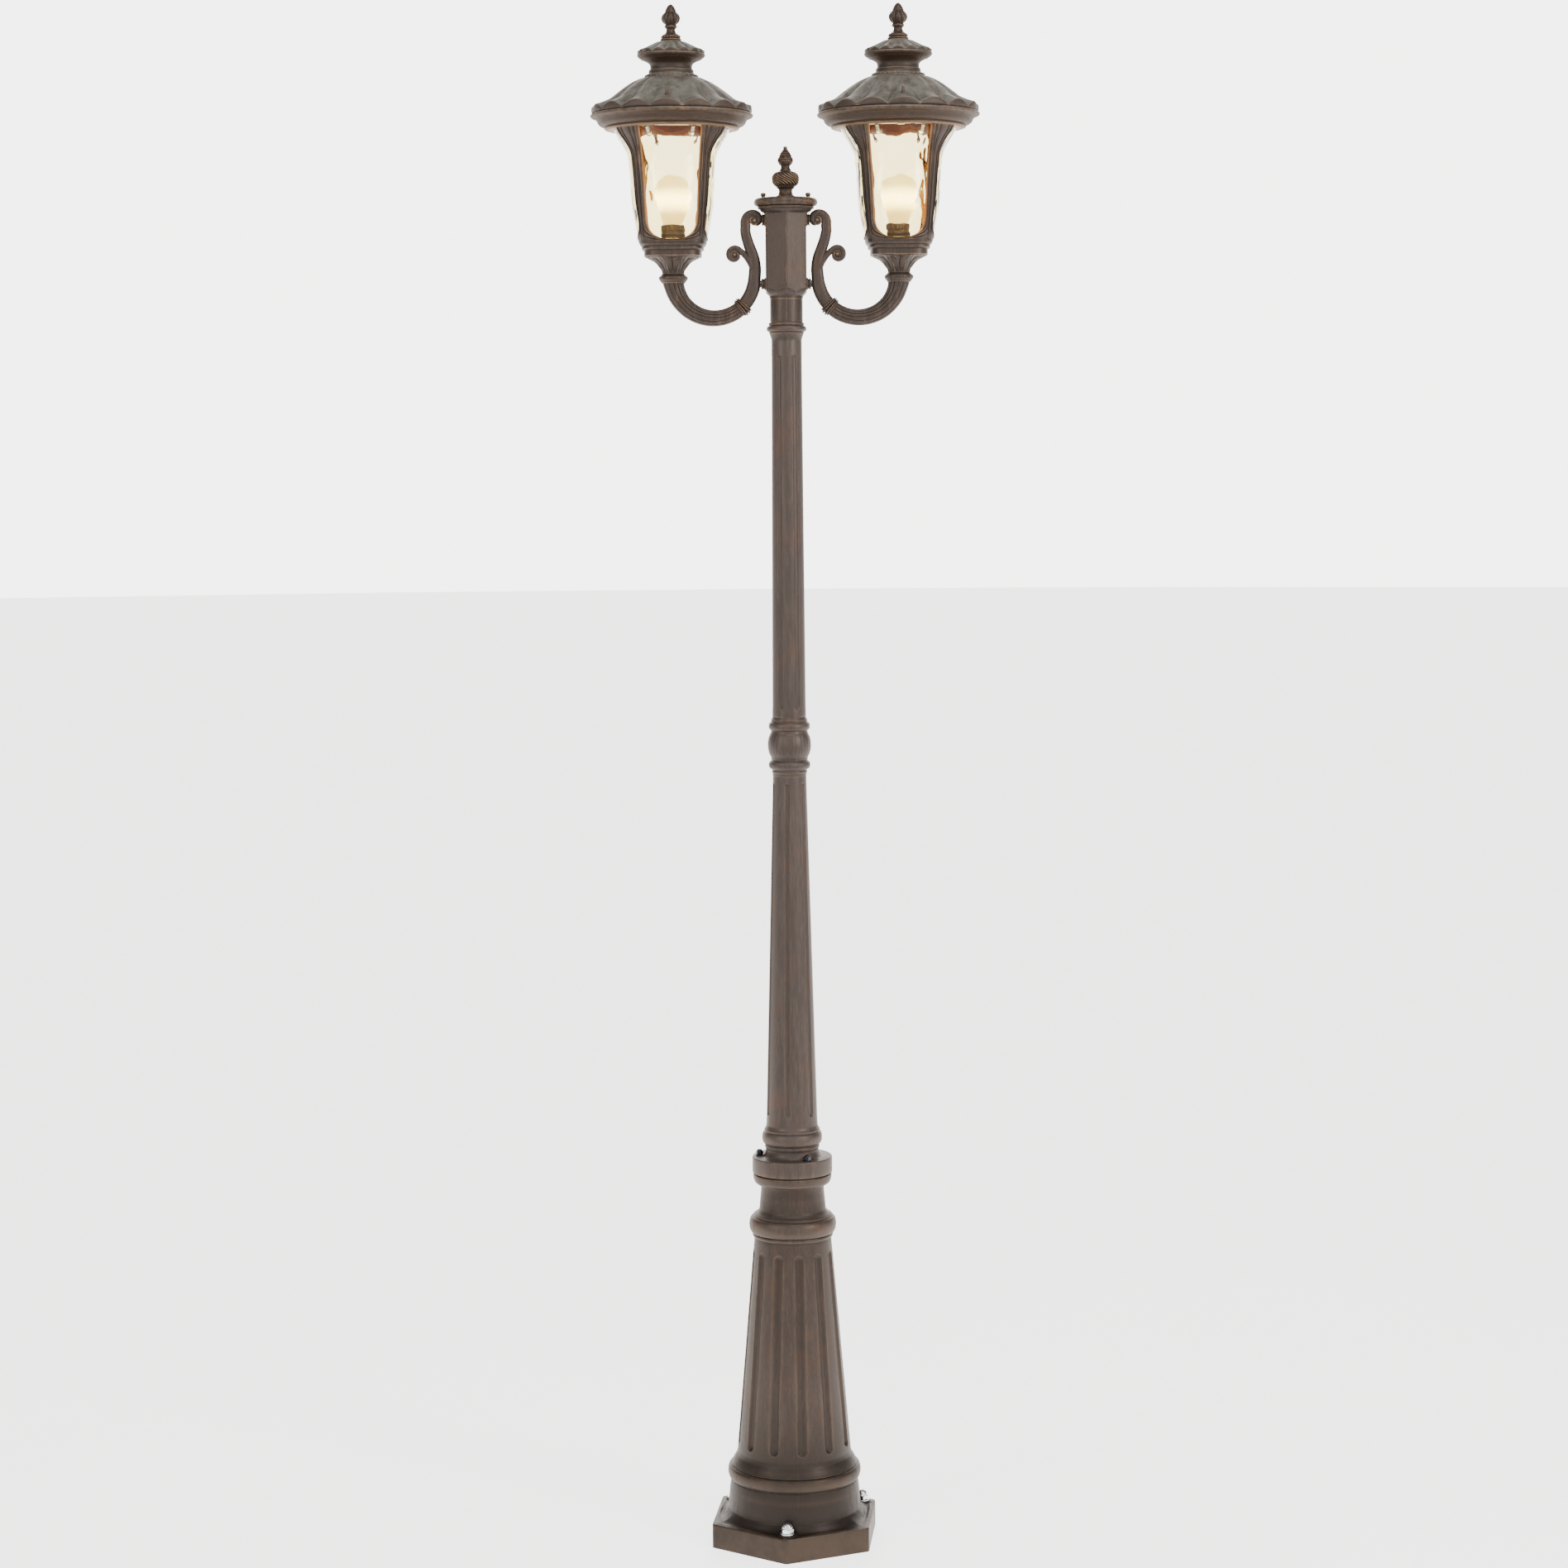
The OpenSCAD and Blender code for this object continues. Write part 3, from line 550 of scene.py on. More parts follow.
MAT = {
    "cast": bronze("cast_bronze_paint", BRONZE, STREAK, GOLD, gilt=0.25),
    "shaft": bronze("shaft_bronze_paint", (0.070, 0.0545, 0.048), (0.125, 0.100, 0.085), GOLD,
                    gilt=0.25),
    "arm": bronze("arm_bronze_paint", BRONZE, STREAK, GOLD, gilt=0.7),
    "roof": bronze("roof_bronze_paint", BRONZE, STREAK, GOLD, gilt=0.6, wash=WASH, rough=0.52),
    "gilt": bronze("gilt_bronze_paint", (0.052, 0.036, 0.029), (0.10, 0.07, 0.053),
                   (0.30, 0.195, 0.115), gilt=0.7),
    "bright": plated("bright_steel_plate", (0.72, 0.73, 0.74)),
    "dark": plated("dark_steel_plate", (0.055, 0.055, 0.06), rough=0.14, scratch=0.15),
    "brass": plated("brass_plate", (0.52, 0.36, 0.15), rough=0.28),
    "glass": amber_glass("rippled_amber_glass"),
    "bulb": lit_bulb("lit_frosted_bulb"),
    "brown": plastic("brown_lampholder", (0.17, 0.105, 0.055), rough=0.3),
    "black": plastic("black_sheath", (0.02, 0.02, 0.021)),
    "cream": plastic("cream_insulation", (0.6, 0.55, 0.44)),
}
SLOT_MATERIAL = {
    "cast_bronze": "cast", "roof_bronze": "roof", "gilt_bronze": "gilt", "bright_steel": "bright",
    "dark_steel": "dark", "brass_fitting": "brass", "amber_glass": "glass",
    "frosted_bulb": "bulb", "brown_plastic": "brown", "black_plastic": "black",
    "white_plastic": "cream",
}


def dress_frame():
    """Gives every carried-over CAD node the material of its slot."""
    for node, obj in frame["nodes"].items():
        material = MAT[SLOT_MATERIAL[SLOT_OF[node]]]
        obj.data.materials.clear()
        obj.data.materials.append(material)
        relief_marks(obj.data, 2)


# ---------- post ----------

def hex_reach(phi, phase=0.0, round_off=0.03, width=0.07):
    """Radius of a hexagon of corner radius 1 with a corner at phase, corners eased."""
    t = np.abs(wrapped(phi, 6, phase)) * pi / 6
    flat = cos(pi / 6) / np.cos(pi / 6 - t)
    return flat - round_off * hump(t, width)


plinth_r, plinth_h, neck_r = 147.0, 39.0, 108.5
flute_low, flute_high = 158, z_flange - 126


def pedestal_outline():
    """The round body above the plinth, from its neck up to the shaft flange."""
    top = z_flange - 109                          # where the fluted taper ends
    neck = [(63.2, 71), (64.0, 70), (62.0, 68.4), (57.5, 65.4), (54.6, 62), (53.7, 58), (50.9, 27),
        (51.5, 21), (52.4, 19.6), (57, 19), (60.5, 16.5), (62.6, 12), (63.5, 7), (63.6, 3), (62.6, 2),
        (61, 1.6), (61, 0), (40, 0)]
    outer = ([(105.5, 84), (103.4, 99), (102.6, 100.5)] + bead(103.4, 112.5, 22, 4.9) + [(101.5, 123.5),
        (102.4, 124.4), (101.6, 125.4), (101, 127.5), (98.2, 133.5), (94.4, 139.5), (92.4, 146),
        (92, 150), (62.4, top), (61.8, top + 2.6), (64.6, top + 4), (65.4, top + 6.5), (64.8, top + 9),
        (63.4, top + 9.8)] + bead(64.4, top + 23.5, 27, 6.2) + [(r, z_flange - drop) for r,
        drop in neck])
    return np.array(dense(fine_near(soften(outer, 0.8), [flute_low, flute_high], 12), 16))


def plinth_rows(phi, corner):
    """Hexagon sides, then a hollowed slope up to the round neck, with level seats for the nuts."""
    rows = [(plinth_r * corner * k, np.full_like(phi, z)) for k, z in ((1.0, 0.0), (1.0, 1.5),
        (1.0, plinth_h - 2.4), (0.998, plinth_h - 0.9), (0.991, plinth_h + 0.2))]
    mid = np.exp(-(np.abs(wrapped(phi, 6)) - 1) ** 2 / 0.32)
    bolt_way = np.abs(wrapped(phi, 3)) * pi / 3
    for t in np.linspace(0.03, 1, 26):
        r = plinth_r * corner * 0.985 * (1 - t) + neck_r * t
        shoulder = 2.0 * hump(t - 0.18, 0.14) * (0.3 + 0.7 * mid)
        hollow = -3.0 * hump(t - 0.55, 0.2) * mid
        z = plinth_h + shoulder + hollow + 12 * t ** (2.6 - 0.6 * mid)
        off = np.hypot(r * np.cos(bolt_way) - 122, r * np.sin(bolt_way))
        seat = part((15.5 - off) / 2.0)
        rows.append((r, z - seat * (z - z_nut + 2.5)))
    rows += [(np.full_like(phi, r), np.full_like(phi, z)) for r, z in ((neck_r - 0.8, 54), (107.6, 60),
        (106.4, 70))]
    return np.stack([np.stack([r[0], z[0]], -1) for r, z in rows])


def pedestal():
    segs = 432
    phi = np.arange(segs)[None, :] * TAU / segs
    corner = hex_reach(phi, 0, 0.006, 0.016)
    flutes = flute_relief(12, radians(8.5) - base_turn, flute_low, flute_high, 15, 4.0)
    pts = pedestal_outline()
    cut = flutes(phi, pts[:, :1], pts[:, 1:], None)
    seam = 0.35 * np.exp(-(wrapped(phi, 1, radians(3.0) - base_turn) * pi * 75 / 0.7) ** 2)
    up = np.stack([pts[:, :1] + cut + seam, pts[:, 1:] + 0 * cut], -1)
    # inner wall, back down to the ground
    top = z_flange - 109
    inner = np.array([(40, z_flange - 50), (57, top + 30), (57, top), (87, 144), (95, 122), (96, 110),
        (100, 84), (101, 34)])
    down = np.broadcast_to(inner[:, None, :], (len(inner), segs, 2))
    foot = [np.stack([(plinth_r - 9) * corner[0], np.full(segs, z)], -1)[None] for z in (34.0, 0.0)]
    section = np.concatenate([plinth_rows(phi, corner), up, down, *foot])
    verts = rotated(ring_points(phi, section[..., 0], section[..., 1]), base_turn)
    faces = grid_faces(len(section), segs, wrap_rows=True)
    piece("pedestal_casting", verts, faces, "cast", "base_pedestal", spread=40)


def hexagon_nut(af, z0, z1, chamfer):
    """Hexagon with turned-off corners, across flats af."""
    r = af / 2 / cos(pi / 6)
    section = [(0, z0), (r - chamfer, z0), (r, z0 + chamfer * 0.5), (r, z1 - chamfer * 0.5),
        (r - chamfer, z1), (0, z1)]

    def cut(phi, z):
        return np.minimum(hex_reach(phi, 0, 0.012), 1.0) + 0 * z

    return turned(section, 96, plan=cut)


def acorn_nuts():
    nuts, washers = [], []
    for k in range(3):
        turn = base_turn + k * TAU / 3
        hexes = hexagon_nut(19, z_nut, z_nut + 7, 1.1)
        dome = turned(soften([(9.3, z_nut + 6), (9.3, z_nut + 7.0), (8.7, z_nut + 7.6)], 0.3)
            + domed(8.8, z_nut + 7.8, 8.0, 10), 48)
        for v, f in (hexes, dome):
            nuts.append((rotated(moved(rotated(v, 0.35 + k), 0, -122), turn), f))
        ring = turned(soften([(6.3, z_nut - 2.4), (11.6, z_nut - 2.4), (12, z_nut - 2),
            (12, z_nut - 0.5), (11.4, z_nut), (6.3, z_nut), (6.3, z_nut - 2.4)], 0.4), 48)
        washers.append((rotated(moved(ring[0], 0, -122), turn), ring[1]))
    piece("acorn_nuts", *joined(nuts), "bright", "anchor_cap_nuts", angle=25)
    piece("anchor_washer_set", *joined(washers), "bright", "anchor_washers")


def flange_bolt_set():
    head_z = z_flange + 26
    parts = []
    for phi in (27, 147, 267):
        washer = turned(soften([(3, head_z), (7.2, head_z), (7.2, head_z + 1.2), (3, head_z + 1.2)],
            0.3), 40)
        hexes = hexagon_nut(10.6, head_z + 1.2, head_z + 7.6, 0.9)
        dome = turned([(5.0, head_z + 7.0), (4.9, head_z + 7.8)] + domed(4.5, head_z + 7.9, 2.2, 7), 32)
        shank = turned([(0, z_flange - 14), (2.9, z_flange - 14), (2.9, head_z + 1), (0, head_z + 1)],
            20)
        for v, f in (washer, hexes, dome, shank):
            parts.append((rotated(moved(rotated(v, phi), 0, -53), radians(phi)), f))
    piece("flange_bolt_set", *joined(parts), "dark", "flange_bolts", angle=25)


def outer_only(relief, least_r):
    """Keeps relief off the inner wall of a hollow casting."""
    def held(phi, r, z, rows):
        return relief(phi, r, z, rows) * ((r > least_r) & (rows < 0.97))
    return held


def fluted_shaft(name, node, base, outer, inner, least_r, turn, low, high, width, depth):
    """A hollow shaft with six flutes between heights low and high."""
    section = dense(fine_near(soften(outer, 1.0), [low, high], 8), 14) + inner[::-1]
    flutes = flute_relief(6, radians(turn), low, high, width, depth)
    piece(name, *turned(section, 288, base=base, relief=outer_only(flutes, least_r), hollow=True),
        "shaft", node, spread=30)


def lower_shaft():
    top = z_collar - z_flange
    outer = ([(36, 0), (63.8, 0), (64.6, 0.8), (64.6, 24.6), (63.6, 26), (58.5, 26.4), (47.5, 26.8),
        (44.6, 30), (43, 35), (42.7, 38)] + bead(43.4, 42.5, 5, 0.8, 4) + [(43.4, 46)]
        + bead(44.6, 57, 20, 4.0) + bead(44.2, 69.5, 4, 0.9, 4) + [(43, 73), (41.5, 77), (40.9, 90),
        (27.4, top - 30), (26.8, top)])
    inner = [(36, 0), (36, 30), (35, 90), (22.2, top - 50), (22.2, top)]
    fluted_shaft("lower_shaft_casting", "lower_shaft", z_flange, outer, inner, 24.0, -10, 94, top - 10,
        9, 2.0)


def shaft_collar():
    ball = [(22.6 + 11.9 * cos(a), 49.5 + 24 * sin(a)) for a in np.radians(np.linspace(-54, 54, 15))]
    outer = ([(22.2, 0), (27, 0), (27.2, 4), (28.2, 5.4), (28.4, 7.6), (27.6, 9)]
        + bead(29.4, 17.5, 13, 3.7) + [(28.9, 24.8)] + ball + [(29.2, 72)] + bead(29.2, 79.5, 13, 3.9)
        + [(29.2, 87)] + bead(28.4, 89, 3.2, 0.9, 4) + [(27.8, 91.5), (27, 94), (22.2, 94)])

    def ribs(phi, r, z, rows):
        on_ball = hump(z - 49.5, 19, 4)
        on_bead = hump(z - 17, 5, 4)
        fine = np.cos(phi * 36) * 0.12 * on_ball + np.cos(phi * 60) * 0.16 * on_bead
        return fine * (r > 23)
    section = dense(soften(outer, 0.8), 2.5)
    piece("ball_collar_casting", *turned(section, 360, relief=ribs, base=z_collar, hollow=True),
        "shaft", "shaft_collar")


def upper_shaft():
    top = z_sleeve - z_upper
    outer = ([(22.2, 0), (26.9, 0), (26.7, 20), (24, top - 30), (24, top - 27), (24.6, top - 24),
        (26.3, top - 19), (28.0, top - 15.5), (27.0, top - 15.0)] + bead(28.0, top - 9.4, 9, 3.6)
        + [(27.4, top - 4.4), (28.2, top - 3.2), (28.1, top), (22.4, top)])
    inner = [(22.2, 0), (22.2, 57), (20.5, 60), (18.4, top - 30), (18.4, top + 36), (22.4, top + 36)]
    fluted_shaft("upper_shaft_casting", "upper_shaft", z_upper, outer, inner, 23.0, 30, 14, top - 50,
        8.5, 1.9)


def head_sleeve():
    height = z_hub - z_sleeve
    section = dense(soften([(22.5, 0), (25.2, 0), (25.8, 0.7), (25.8, height), (14, height),
        (14, height + 21), (10, height + 21), (10, height - 2.8), (22.5, height - 2.8), (22.5, 0)],
        0.4), 4)

    def seam(phi, r, z, rows):
        line = np.exp(-(wrapped(phi, 2) * pi / 2 * 25.8 / 0.55) ** 2)
        return 0.4 * line * (r > 25) * (z > 1)
    piece("head_sleeve_casting", *turned(section, 240, relief=seam, base=z_sleeve, hollow=True), "cast",
        "head_sleeve")


def arm_hub():
    height = z_cap - z_hub
    segs = 576
    phi = np.arange(segs)[None, :] * TAU / segs
    mid = np.abs(wrapped(phi, 6))
    corner = hex_reach(phi, 0, 0.006, 0.014) - 0.012 * hump(mid - 0.06, 0.025)
    rows = []

    def row(hexed, round_r, z):
        """One ring between a hexagon of corner radius 37.2 and a circle."""
        r = hexed * 37.2 * corner + (1 - hexed) * round_r
        rows.append(np.stack([r, np.broadcast_to(z, r.shape)], -1))

    arch = 4.6 * (1 - mid ** 1.6)                 # the faces end in arches, lowest mid face
    for hexed, round_r, z, share in ((0, 22.5, 0.0, 0), (0, 26.6, 0.0, 0), (0, 27.0, 3.0, 0),
            (0.3, 29.5, 6.0, 0.2), (0.85, 32.0, 8.6, 0.8), (1.0, 32.0, 9.8, 1), (1.055, 32.0, 10.3, 1),
            (1.06, 32.0, 11.0, 1), (1.06, 32.0, 12.8, 1), (1.05, 32.0, 13.5, 1), (1.0, 32.0, 13.9, 1)):
        row(hexed, round_r, z + arch * share)
    for z in (*np.linspace(24, height - 13, 10), height - 10.5):
        row(1.0, 32.0, z)
    for r, z in soften([(36.5, height - 9), (38.5, height - 7.5), (40.5, height - 5.2),
            (41, height - 4), (44.2, height - 2.6), (44.7, height - 1), (44.2, height), (30, height)],
            0.5):
        row(0.25 if r < 38 else 0.0, r, z)
    for hexed, round_r, z in ((0.86, 27, height), (0.86, 27, 13), (0, 14.2, 13), (0, 14.2, 0)):
        row(hexed, round_r, z)
    section = np.concatenate(rows)
    verts = ring_points(phi, section[..., 0], section[..., 1] + z_hub)
    faces = grid_faces(len(section), segs, wrap_rows=True)
    piece("hub_casting", verts, faces, "cast", "arm_hub", angle=30)


def hub_cap():
    base = z_cap + 0.3
    section = dense(soften([(20, 0.2), (43.6, 0.2), (44.4, 0.6)] + bead(44.6, 6.8, 12.2, 5.6)
        + [(44, 13.1), (38, 13.5), (26, 13.8), (18, 14.7), (8, 14.7), (8, 9.2), (20, 9.2), (20, 0.2)],
        0.4), 2.5)
    piece("hub_cap_casting", *turned(section, 192, base=base, hollow=True), "arm", "hub_cap")
    parts = []
    for x in (-35.2, 35.2):
        stem = turned(soften([(0, -8), (2, -8), (2, 14), (3.1, 14), (3.1, 17.2), (4.15, 17.6),
            (4.3, 19.4), (3.9, 21.0), (2.6, 22), (0, 22)], 0.5), 40)
        parts.append((moved(stem[0], x, 0, z_cap), stem[1]))
    piece("hub_cap_screw_set", *joined(parts), "cast", "hub_cap_screws")


def hub_finial():
    foot = [(4.1, 0), (16, 0), (15.2, 1.4), (12.6, 3), (11.2, 5), (10.5, 7.5), (10.6, 10.5),
        (11.3, 12.8), (12.8, 13.6), (14.2, 15), (14.6, 16.4), (15.6, 17.4)]
    ball = [(21.1 * cos(a) ** 0.83, 28.5 + (12.8 if a > 0 else 15.5) * copysign(abs(sin(a)) ** 0.83, a))
        for a in np.radians(np.linspace(-46, 68, 28))]
    neck = [(8.8, 42.4), (6.9, 45.5), (6.9, 47.4), (7.8, 49.2)]
    bud = smooth_line([(8.2, 50), (10.6, 52.5), (11.9, 56.2), (11.4, 60), (9.4, 64), (7.2, 68.4),
        (5.0, 72), (3.3, 74.2), (3.2, 75.6), (3.3, 77), (2.4, 78.6), (0.02, 79.2)], 5)
    section = dense(soften(foot, 0.6) + ball + soften(neck, 0.8) + bud, 0.9)
    section += [(0.02, 34), (4.1, 34), (4.1, 0)]

    def relief(phi, r, z, rows):
        on_ball = ((z > 17.6) & (z < 41.5)) * (rows < 0.95)
        swirl = phi + (z - 28) * 0.055 + 0.16 * np.sin((z - 28) * 0.23)
        lobes = np.abs(np.sin(swirl * 10))
        fade = part((z - 17.6) / 3) * part((41.5 - z) / 4)
        dr = on_ball * fade * (2.3 * lobes ** 0.6 - 1.8) * np.minimum(r / 18, 1)
        on_bud = (z > 50) * (z < 73.5) * (rows < 0.95)
        band = (z - 50) / 4.6
        row_no = np.floor(band)
        across = wrapped(phi, 7, (row_no % 2) * pi / 7)
        leaf = part(1.15 - np.abs(across) ** 2.2 - (band - row_no) * 0.9)
        dr = dr + on_bud * (1.25 * leaf - 0.45) * np.minimum(r / 8, 1)
        return dr * (r > 1)
    piece("hub_finial_casting", *turned(section, 320, relief=relief, base=z_cap + 15.1), "gilt",
        "hub_finial", spread=8)


# ---------- arms ----------

def frames_along(path):
    """Tangents of a path in the XZ plane and the normals to their left."""
    p = np.array(path, float)
    t = np.gradient(p, axis=0)
    t /= np.linalg.norm(t, axis=1)[:, None]
    return p, t, np.stack([-t[:, 1], t[:, 0]], 1)


def bar(path, outline_at):
    """A bar along a path in the XZ plane. outline_at(i, s) gives its (across, depth) points."""
    p, t, n = frames_along(path)
    sections = []
    for i in range(len(p)):
        shape = np.array(outline_at(i, i / (len(p) - 1)), float)
        x = p[i, 0] + n[i, 0] * shape[:, 0]
        z = p[i, 1] + n[i, 1] * shape[:, 0]
        sections.append(np.stack([x, shape[:, 1], z], 1))
    return swept(sections)


def bend_point(angle):
    a = radians(angle)
    return (bend_x + bend_r * cos(a), bend_z + bend_r * sin(a))


def spiral(cx, cz, r0, r1, a0, a1, n, power=0.8):
    """Centre line of a scroll whose radius goes from r0 to r1 as its angle goes from a0 to a1."""
    out = []
    for i in range(n + 1):
        t = i / n
        a = radians(a0 + (a1 - a0) * t)
        r = r0 + (r1 - r0) * t ** power
        out.append((cx + r * cos(a), cz + r * sin(a)))
    return out


def strap_shape(half_w, half_d):
    """Section of the strap: a rounded bar with a fine fillet along its front and back edges."""
    turns = np.arange(40) * TAU / 40
    c, s = np.cos(turns), np.sin(turns)
    across = half_w * np.sign(c) * np.abs(c) ** 0.8
    deep = half_d * np.sign(s) * np.abs(s) ** 0.72
    return np.stack([across, deep], 1)


def arm_scroll(name):
    low = [bend_point(a) for a in np.linspace(222, 182, 12)]
    rise = [(49.0, bend_z + 10), (49.4, bend_z + 20), (51.6, bend_z + 31), (55.4, bend_z + 42),
        (59.0, bend_z + 52), (62.0, bend_z + 62), (64.0, bend_z + 72)]
    volute = spiral(49.2, bend_z + 88, 16.2, 5.4, -28, 250, 34)
    main = smooth_line(low + rise, 3) + volute

    def main_shape(i, s):
        half_w = np.interp(s, [0, 0.25, 0.42, 0.62, 0.78, 1], [11.2, 11.0, 9.6, 8.2, 6.2, 3.6])
        half_d = np.interp(s, [0, 0.3, 0.6, 1], [11.0, 9.5, 8.4, 7.2])
        return strap_shape(half_w, half_d)

    branch = (smooth_line([(51.0, bend_z + 4), (53.6, bend_z + 14.5), (58.0, bend_z + 24.5),
        (63.2, bend_z + 32.4), (68.4, bend_z + 38.0)], 5) + spiral(80.9, bend_z + 35.0, 10.4, 4.6, 138,
        -200, 36, 2.0))

    def branch_shape(i, s):
        half_w = np.interp(s, [0, 0.2, 0.4, 0.7, 1], [4.0, 5.0, 4.7, 4.3, 3.0])
        half_d = np.interp(s, [0, 0.2, 0.6, 1], [8.6, 8.8, 7.6, 6.4])
        return strap_shape(half_w, half_d)

    parts = [bar(main, main_shape), bar(branch, branch_shape)]
    eyes = ((49.2, bend_z + 88, 7.6, 3.6, 6.2), (80.9, bend_z + 35.0, 6.4, 3.4, 5.4))
    for cx, cz, disc_r, eye_r, deep in eyes:
        half = [(disc_r, deep - 0.3), (eye_r + 0.8, deep), (eye_r, deep + 0.2), (eye_r * 0.8, deep
            + 1.7), (1.6, deep + 2.7), (0.02, deep + 3.0)]
        eye = [(r, -z) for r, z in half[::-1]] + half
        v, f = turned(soften(eye, 0.5), 40)
        v = np.stack([v[:, 0] + cx, v[:, 2], v[:, 1] + cz], 1)
        parts.append((v, f))
    side_piece("arm_strap", name, *joined(parts), "arm", "arm_scroll", spread=8)


def tube_rows(angles, radius_at, segs, relief):
    """Rings round the U bend. radius_at(angle) is the tube's radius there."""
    sections = []
    around = np.arange(segs) * TAU / segs
    for angle in angles:
        a = radians(angle)
        r = radius_at(angle) + relief(around, angle)
        out = bend_r + r * np.cos(around)
        sections.append(np.stack([bend_x + out * cos(a), r * np.sin(around), bend_z + out * sin(a)], 1))
    return sections


def arm_bend(name):
    angles = np.linspace(229, 359, 110)

    def radius_at(angle):
        return float(np.interp(angle, [229, 250, 290, 320, 345, 354, 359], [11.9, 12.1, 12.9, 13.9,
            15.5, 17.2, 18.6]))

    def reeds(around, angle):
        fade = part((angle - 229) / 8)
        wave = np.abs(np.cos(around * 7))
        return fade * (1.5 * wave ** 0.6 - 1.2)

    tube = swept(tube_rows(angles, radius_at, 196, reeds))
    seat = z_lantern - bend_z

    def scallop(phi, r, z, rows):
        rim = part((r - 19) / 3)
        out = rim * 0.45 * np.abs(np.cos(phi * 7)) * (z < 1.2)
        return out, -rim * 0.8 * np.abs(np.sin(phi * 7)) * (z < -0.4)
    flare = turned(dense(soften([(10, -9), (18.4, -9), (19.6, -6.6), (21.2, -4.2), (22.4, -2.2),
        (22.8, -0.4), (22.4, 0.8), (21.2, 2.0), (19.4, 3.8), (17.8, 5.4), (17.4, seat), (6.6, seat),
        (6.6, -9), (10, -9)], 0.4), 0.9), 196, relief=scallop, hollow=True)
    side_piece("arm_tube", name, *joined([tube, (moved(flare[0], arm_reach, 0, bend_z), flare[1])]),
        "arm", "arm_bend", spread=8)


def arm_band(name):
    angles = np.linspace(220.5, 231.5, 45)

    def radius_at(angle):
        rings = [(221.6, 1.1, 1.6), (224.4, 1.5, 2.9), (228.2, 1.5, 2.9), (230.8, 1.0, 1.3)]
        rise = max(proud * sqrt(max(0.0, 1 - ((angle - at) / half) ** 2)) for at, half, proud in rings)
        return 13.0 + rise

    def twist(around, angle):
        return 0.35 * np.cos(around * 10 + radians(angle) * 22) * (224.5 < angle < 228)
    side_piece("arm_ring_band", name, *swept(tube_rows(angles, radius_at, 96, twist)), "cast",
        "arm_band", spread=5)


def lying(verts, faces, z):
    """A turned piece laid over so that its axis runs along +X at height z."""
    return np.stack([verts[:, 2], verts[:, 0], verts[:, 1] + z], 1), faces


def arm_bosses(name):
    disc = turned(soften([(3.1, 0), (10.3, 0), (10.3, 1.6), (8.4, 2.2), (8.4, 3.2), (9.6, 3.6),
        (9.6, 5.0), (8.8, 5.4), (3.1, 5.4), (3.1, 0)], 0.4), 64)
    stub = turned(soften([(5.6, 0), (9.6, 0), (9.8, 1.8), (8.2, 2.4), (7.6, 3.4), (8.6, 4.4),
        (8.4, 6.0), (7.2, 7.0), (5.6, 7.0), (5.6, 0)], 0.4), 64)
    side_piece("arm_boss_pair", name, *joined([lying(moved(shape[0], 0, 0, hub_flat), shape[1], z)
        for shape, z in ((disc, bend_z + 89), (stub, bend_z - 11))]), "cast", "arm_bosses")


# ---------- lantern ----------

GLASS_LINE = [(53.4, 50), (55.5, 58), (60, 78), (65, 109), (67, 144), (69, 169), (72, 187), (80, 203),
    (86, 212), (91.5, 222.8)]
CAGE_LINE = [(61.6, 44), (62.6, 50), (65.2, 58), (67.8, 78), (71.8, 109), (75.0, 144), (77.6, 169),
    (80.6, 187), (88.4, 203), (94.6, 212), (99, 220), (100.5, 224)]


def line_at(line, z):
    rs, zs = zip(*smooth_line(line, 6))
    return np.interp(z, zs, rs)


def squareness(phi, strength):
    """Plan of a rounded square with corners on the diagonals, 1 at the corners."""
    power = 3.8
    c, s = np.abs(np.cos(phi)), np.abs(np.sin(phi))
    r = (c ** power + s ** power) ** (-1 / power)
    corner = 2 ** (0.5 - 1 / power)
    return (1 - strength) + strength * r / corner


def lantern_cup(name):
    outer = smooth_line([(17.2, 0), (17.4, 2), (18.2, 5), (20.4, 8), (24.6, 13.5), (28, 17),
        (30.6, 19.4), (34.4, 22.2), (38.4, 24.0), (41.6, 25.0)], 5)
    section = outer + [(41.5, 25.9), (36, 25.9), (29, 20), (22, 14), (10, 8), (6.6, 8), (6.6, 0)]

    def leaves(phi, r, z, rows):
        on = (rows < 0.86)
        lift = part(z / 24)
        t = wrapped(phi, 8, pi / 8)
        lobe = (1 - np.abs(t) ** 3) * 3.0 * lift ** 0.7
        rib = 1.1 * hump(t, 0.09) * part(1.3 - lift)
        veins = 0.5 * np.cos(np.abs(t) * 15 + z * 0.55) * lift * (1 - np.abs(t) ** 2)
        tip = 18.5 + 4.5 * (1 - np.abs(t) ** 1.6)         # where each leaf turns over
        curl = 2.0 * hump(z - tip, 1.7) * (1 - np.abs(t) ** 2)
        gap = -1.4 * hump(1 - np.abs(t), 0.1) * lift
        return on * (lobe - 2.2 * lift + rib + veins + curl + gap)

    def plan(phi, z):
        strength = 0.55 * part((z - 16) / 9)
        return squareness(phi, strength) / squareness(0, strength)
    lantern_piece("leaf_cup", name, *turned(section, 320, relief=leaves, plan=plan, hollow=True), "arm",
        "lantern_cup", spread=8)


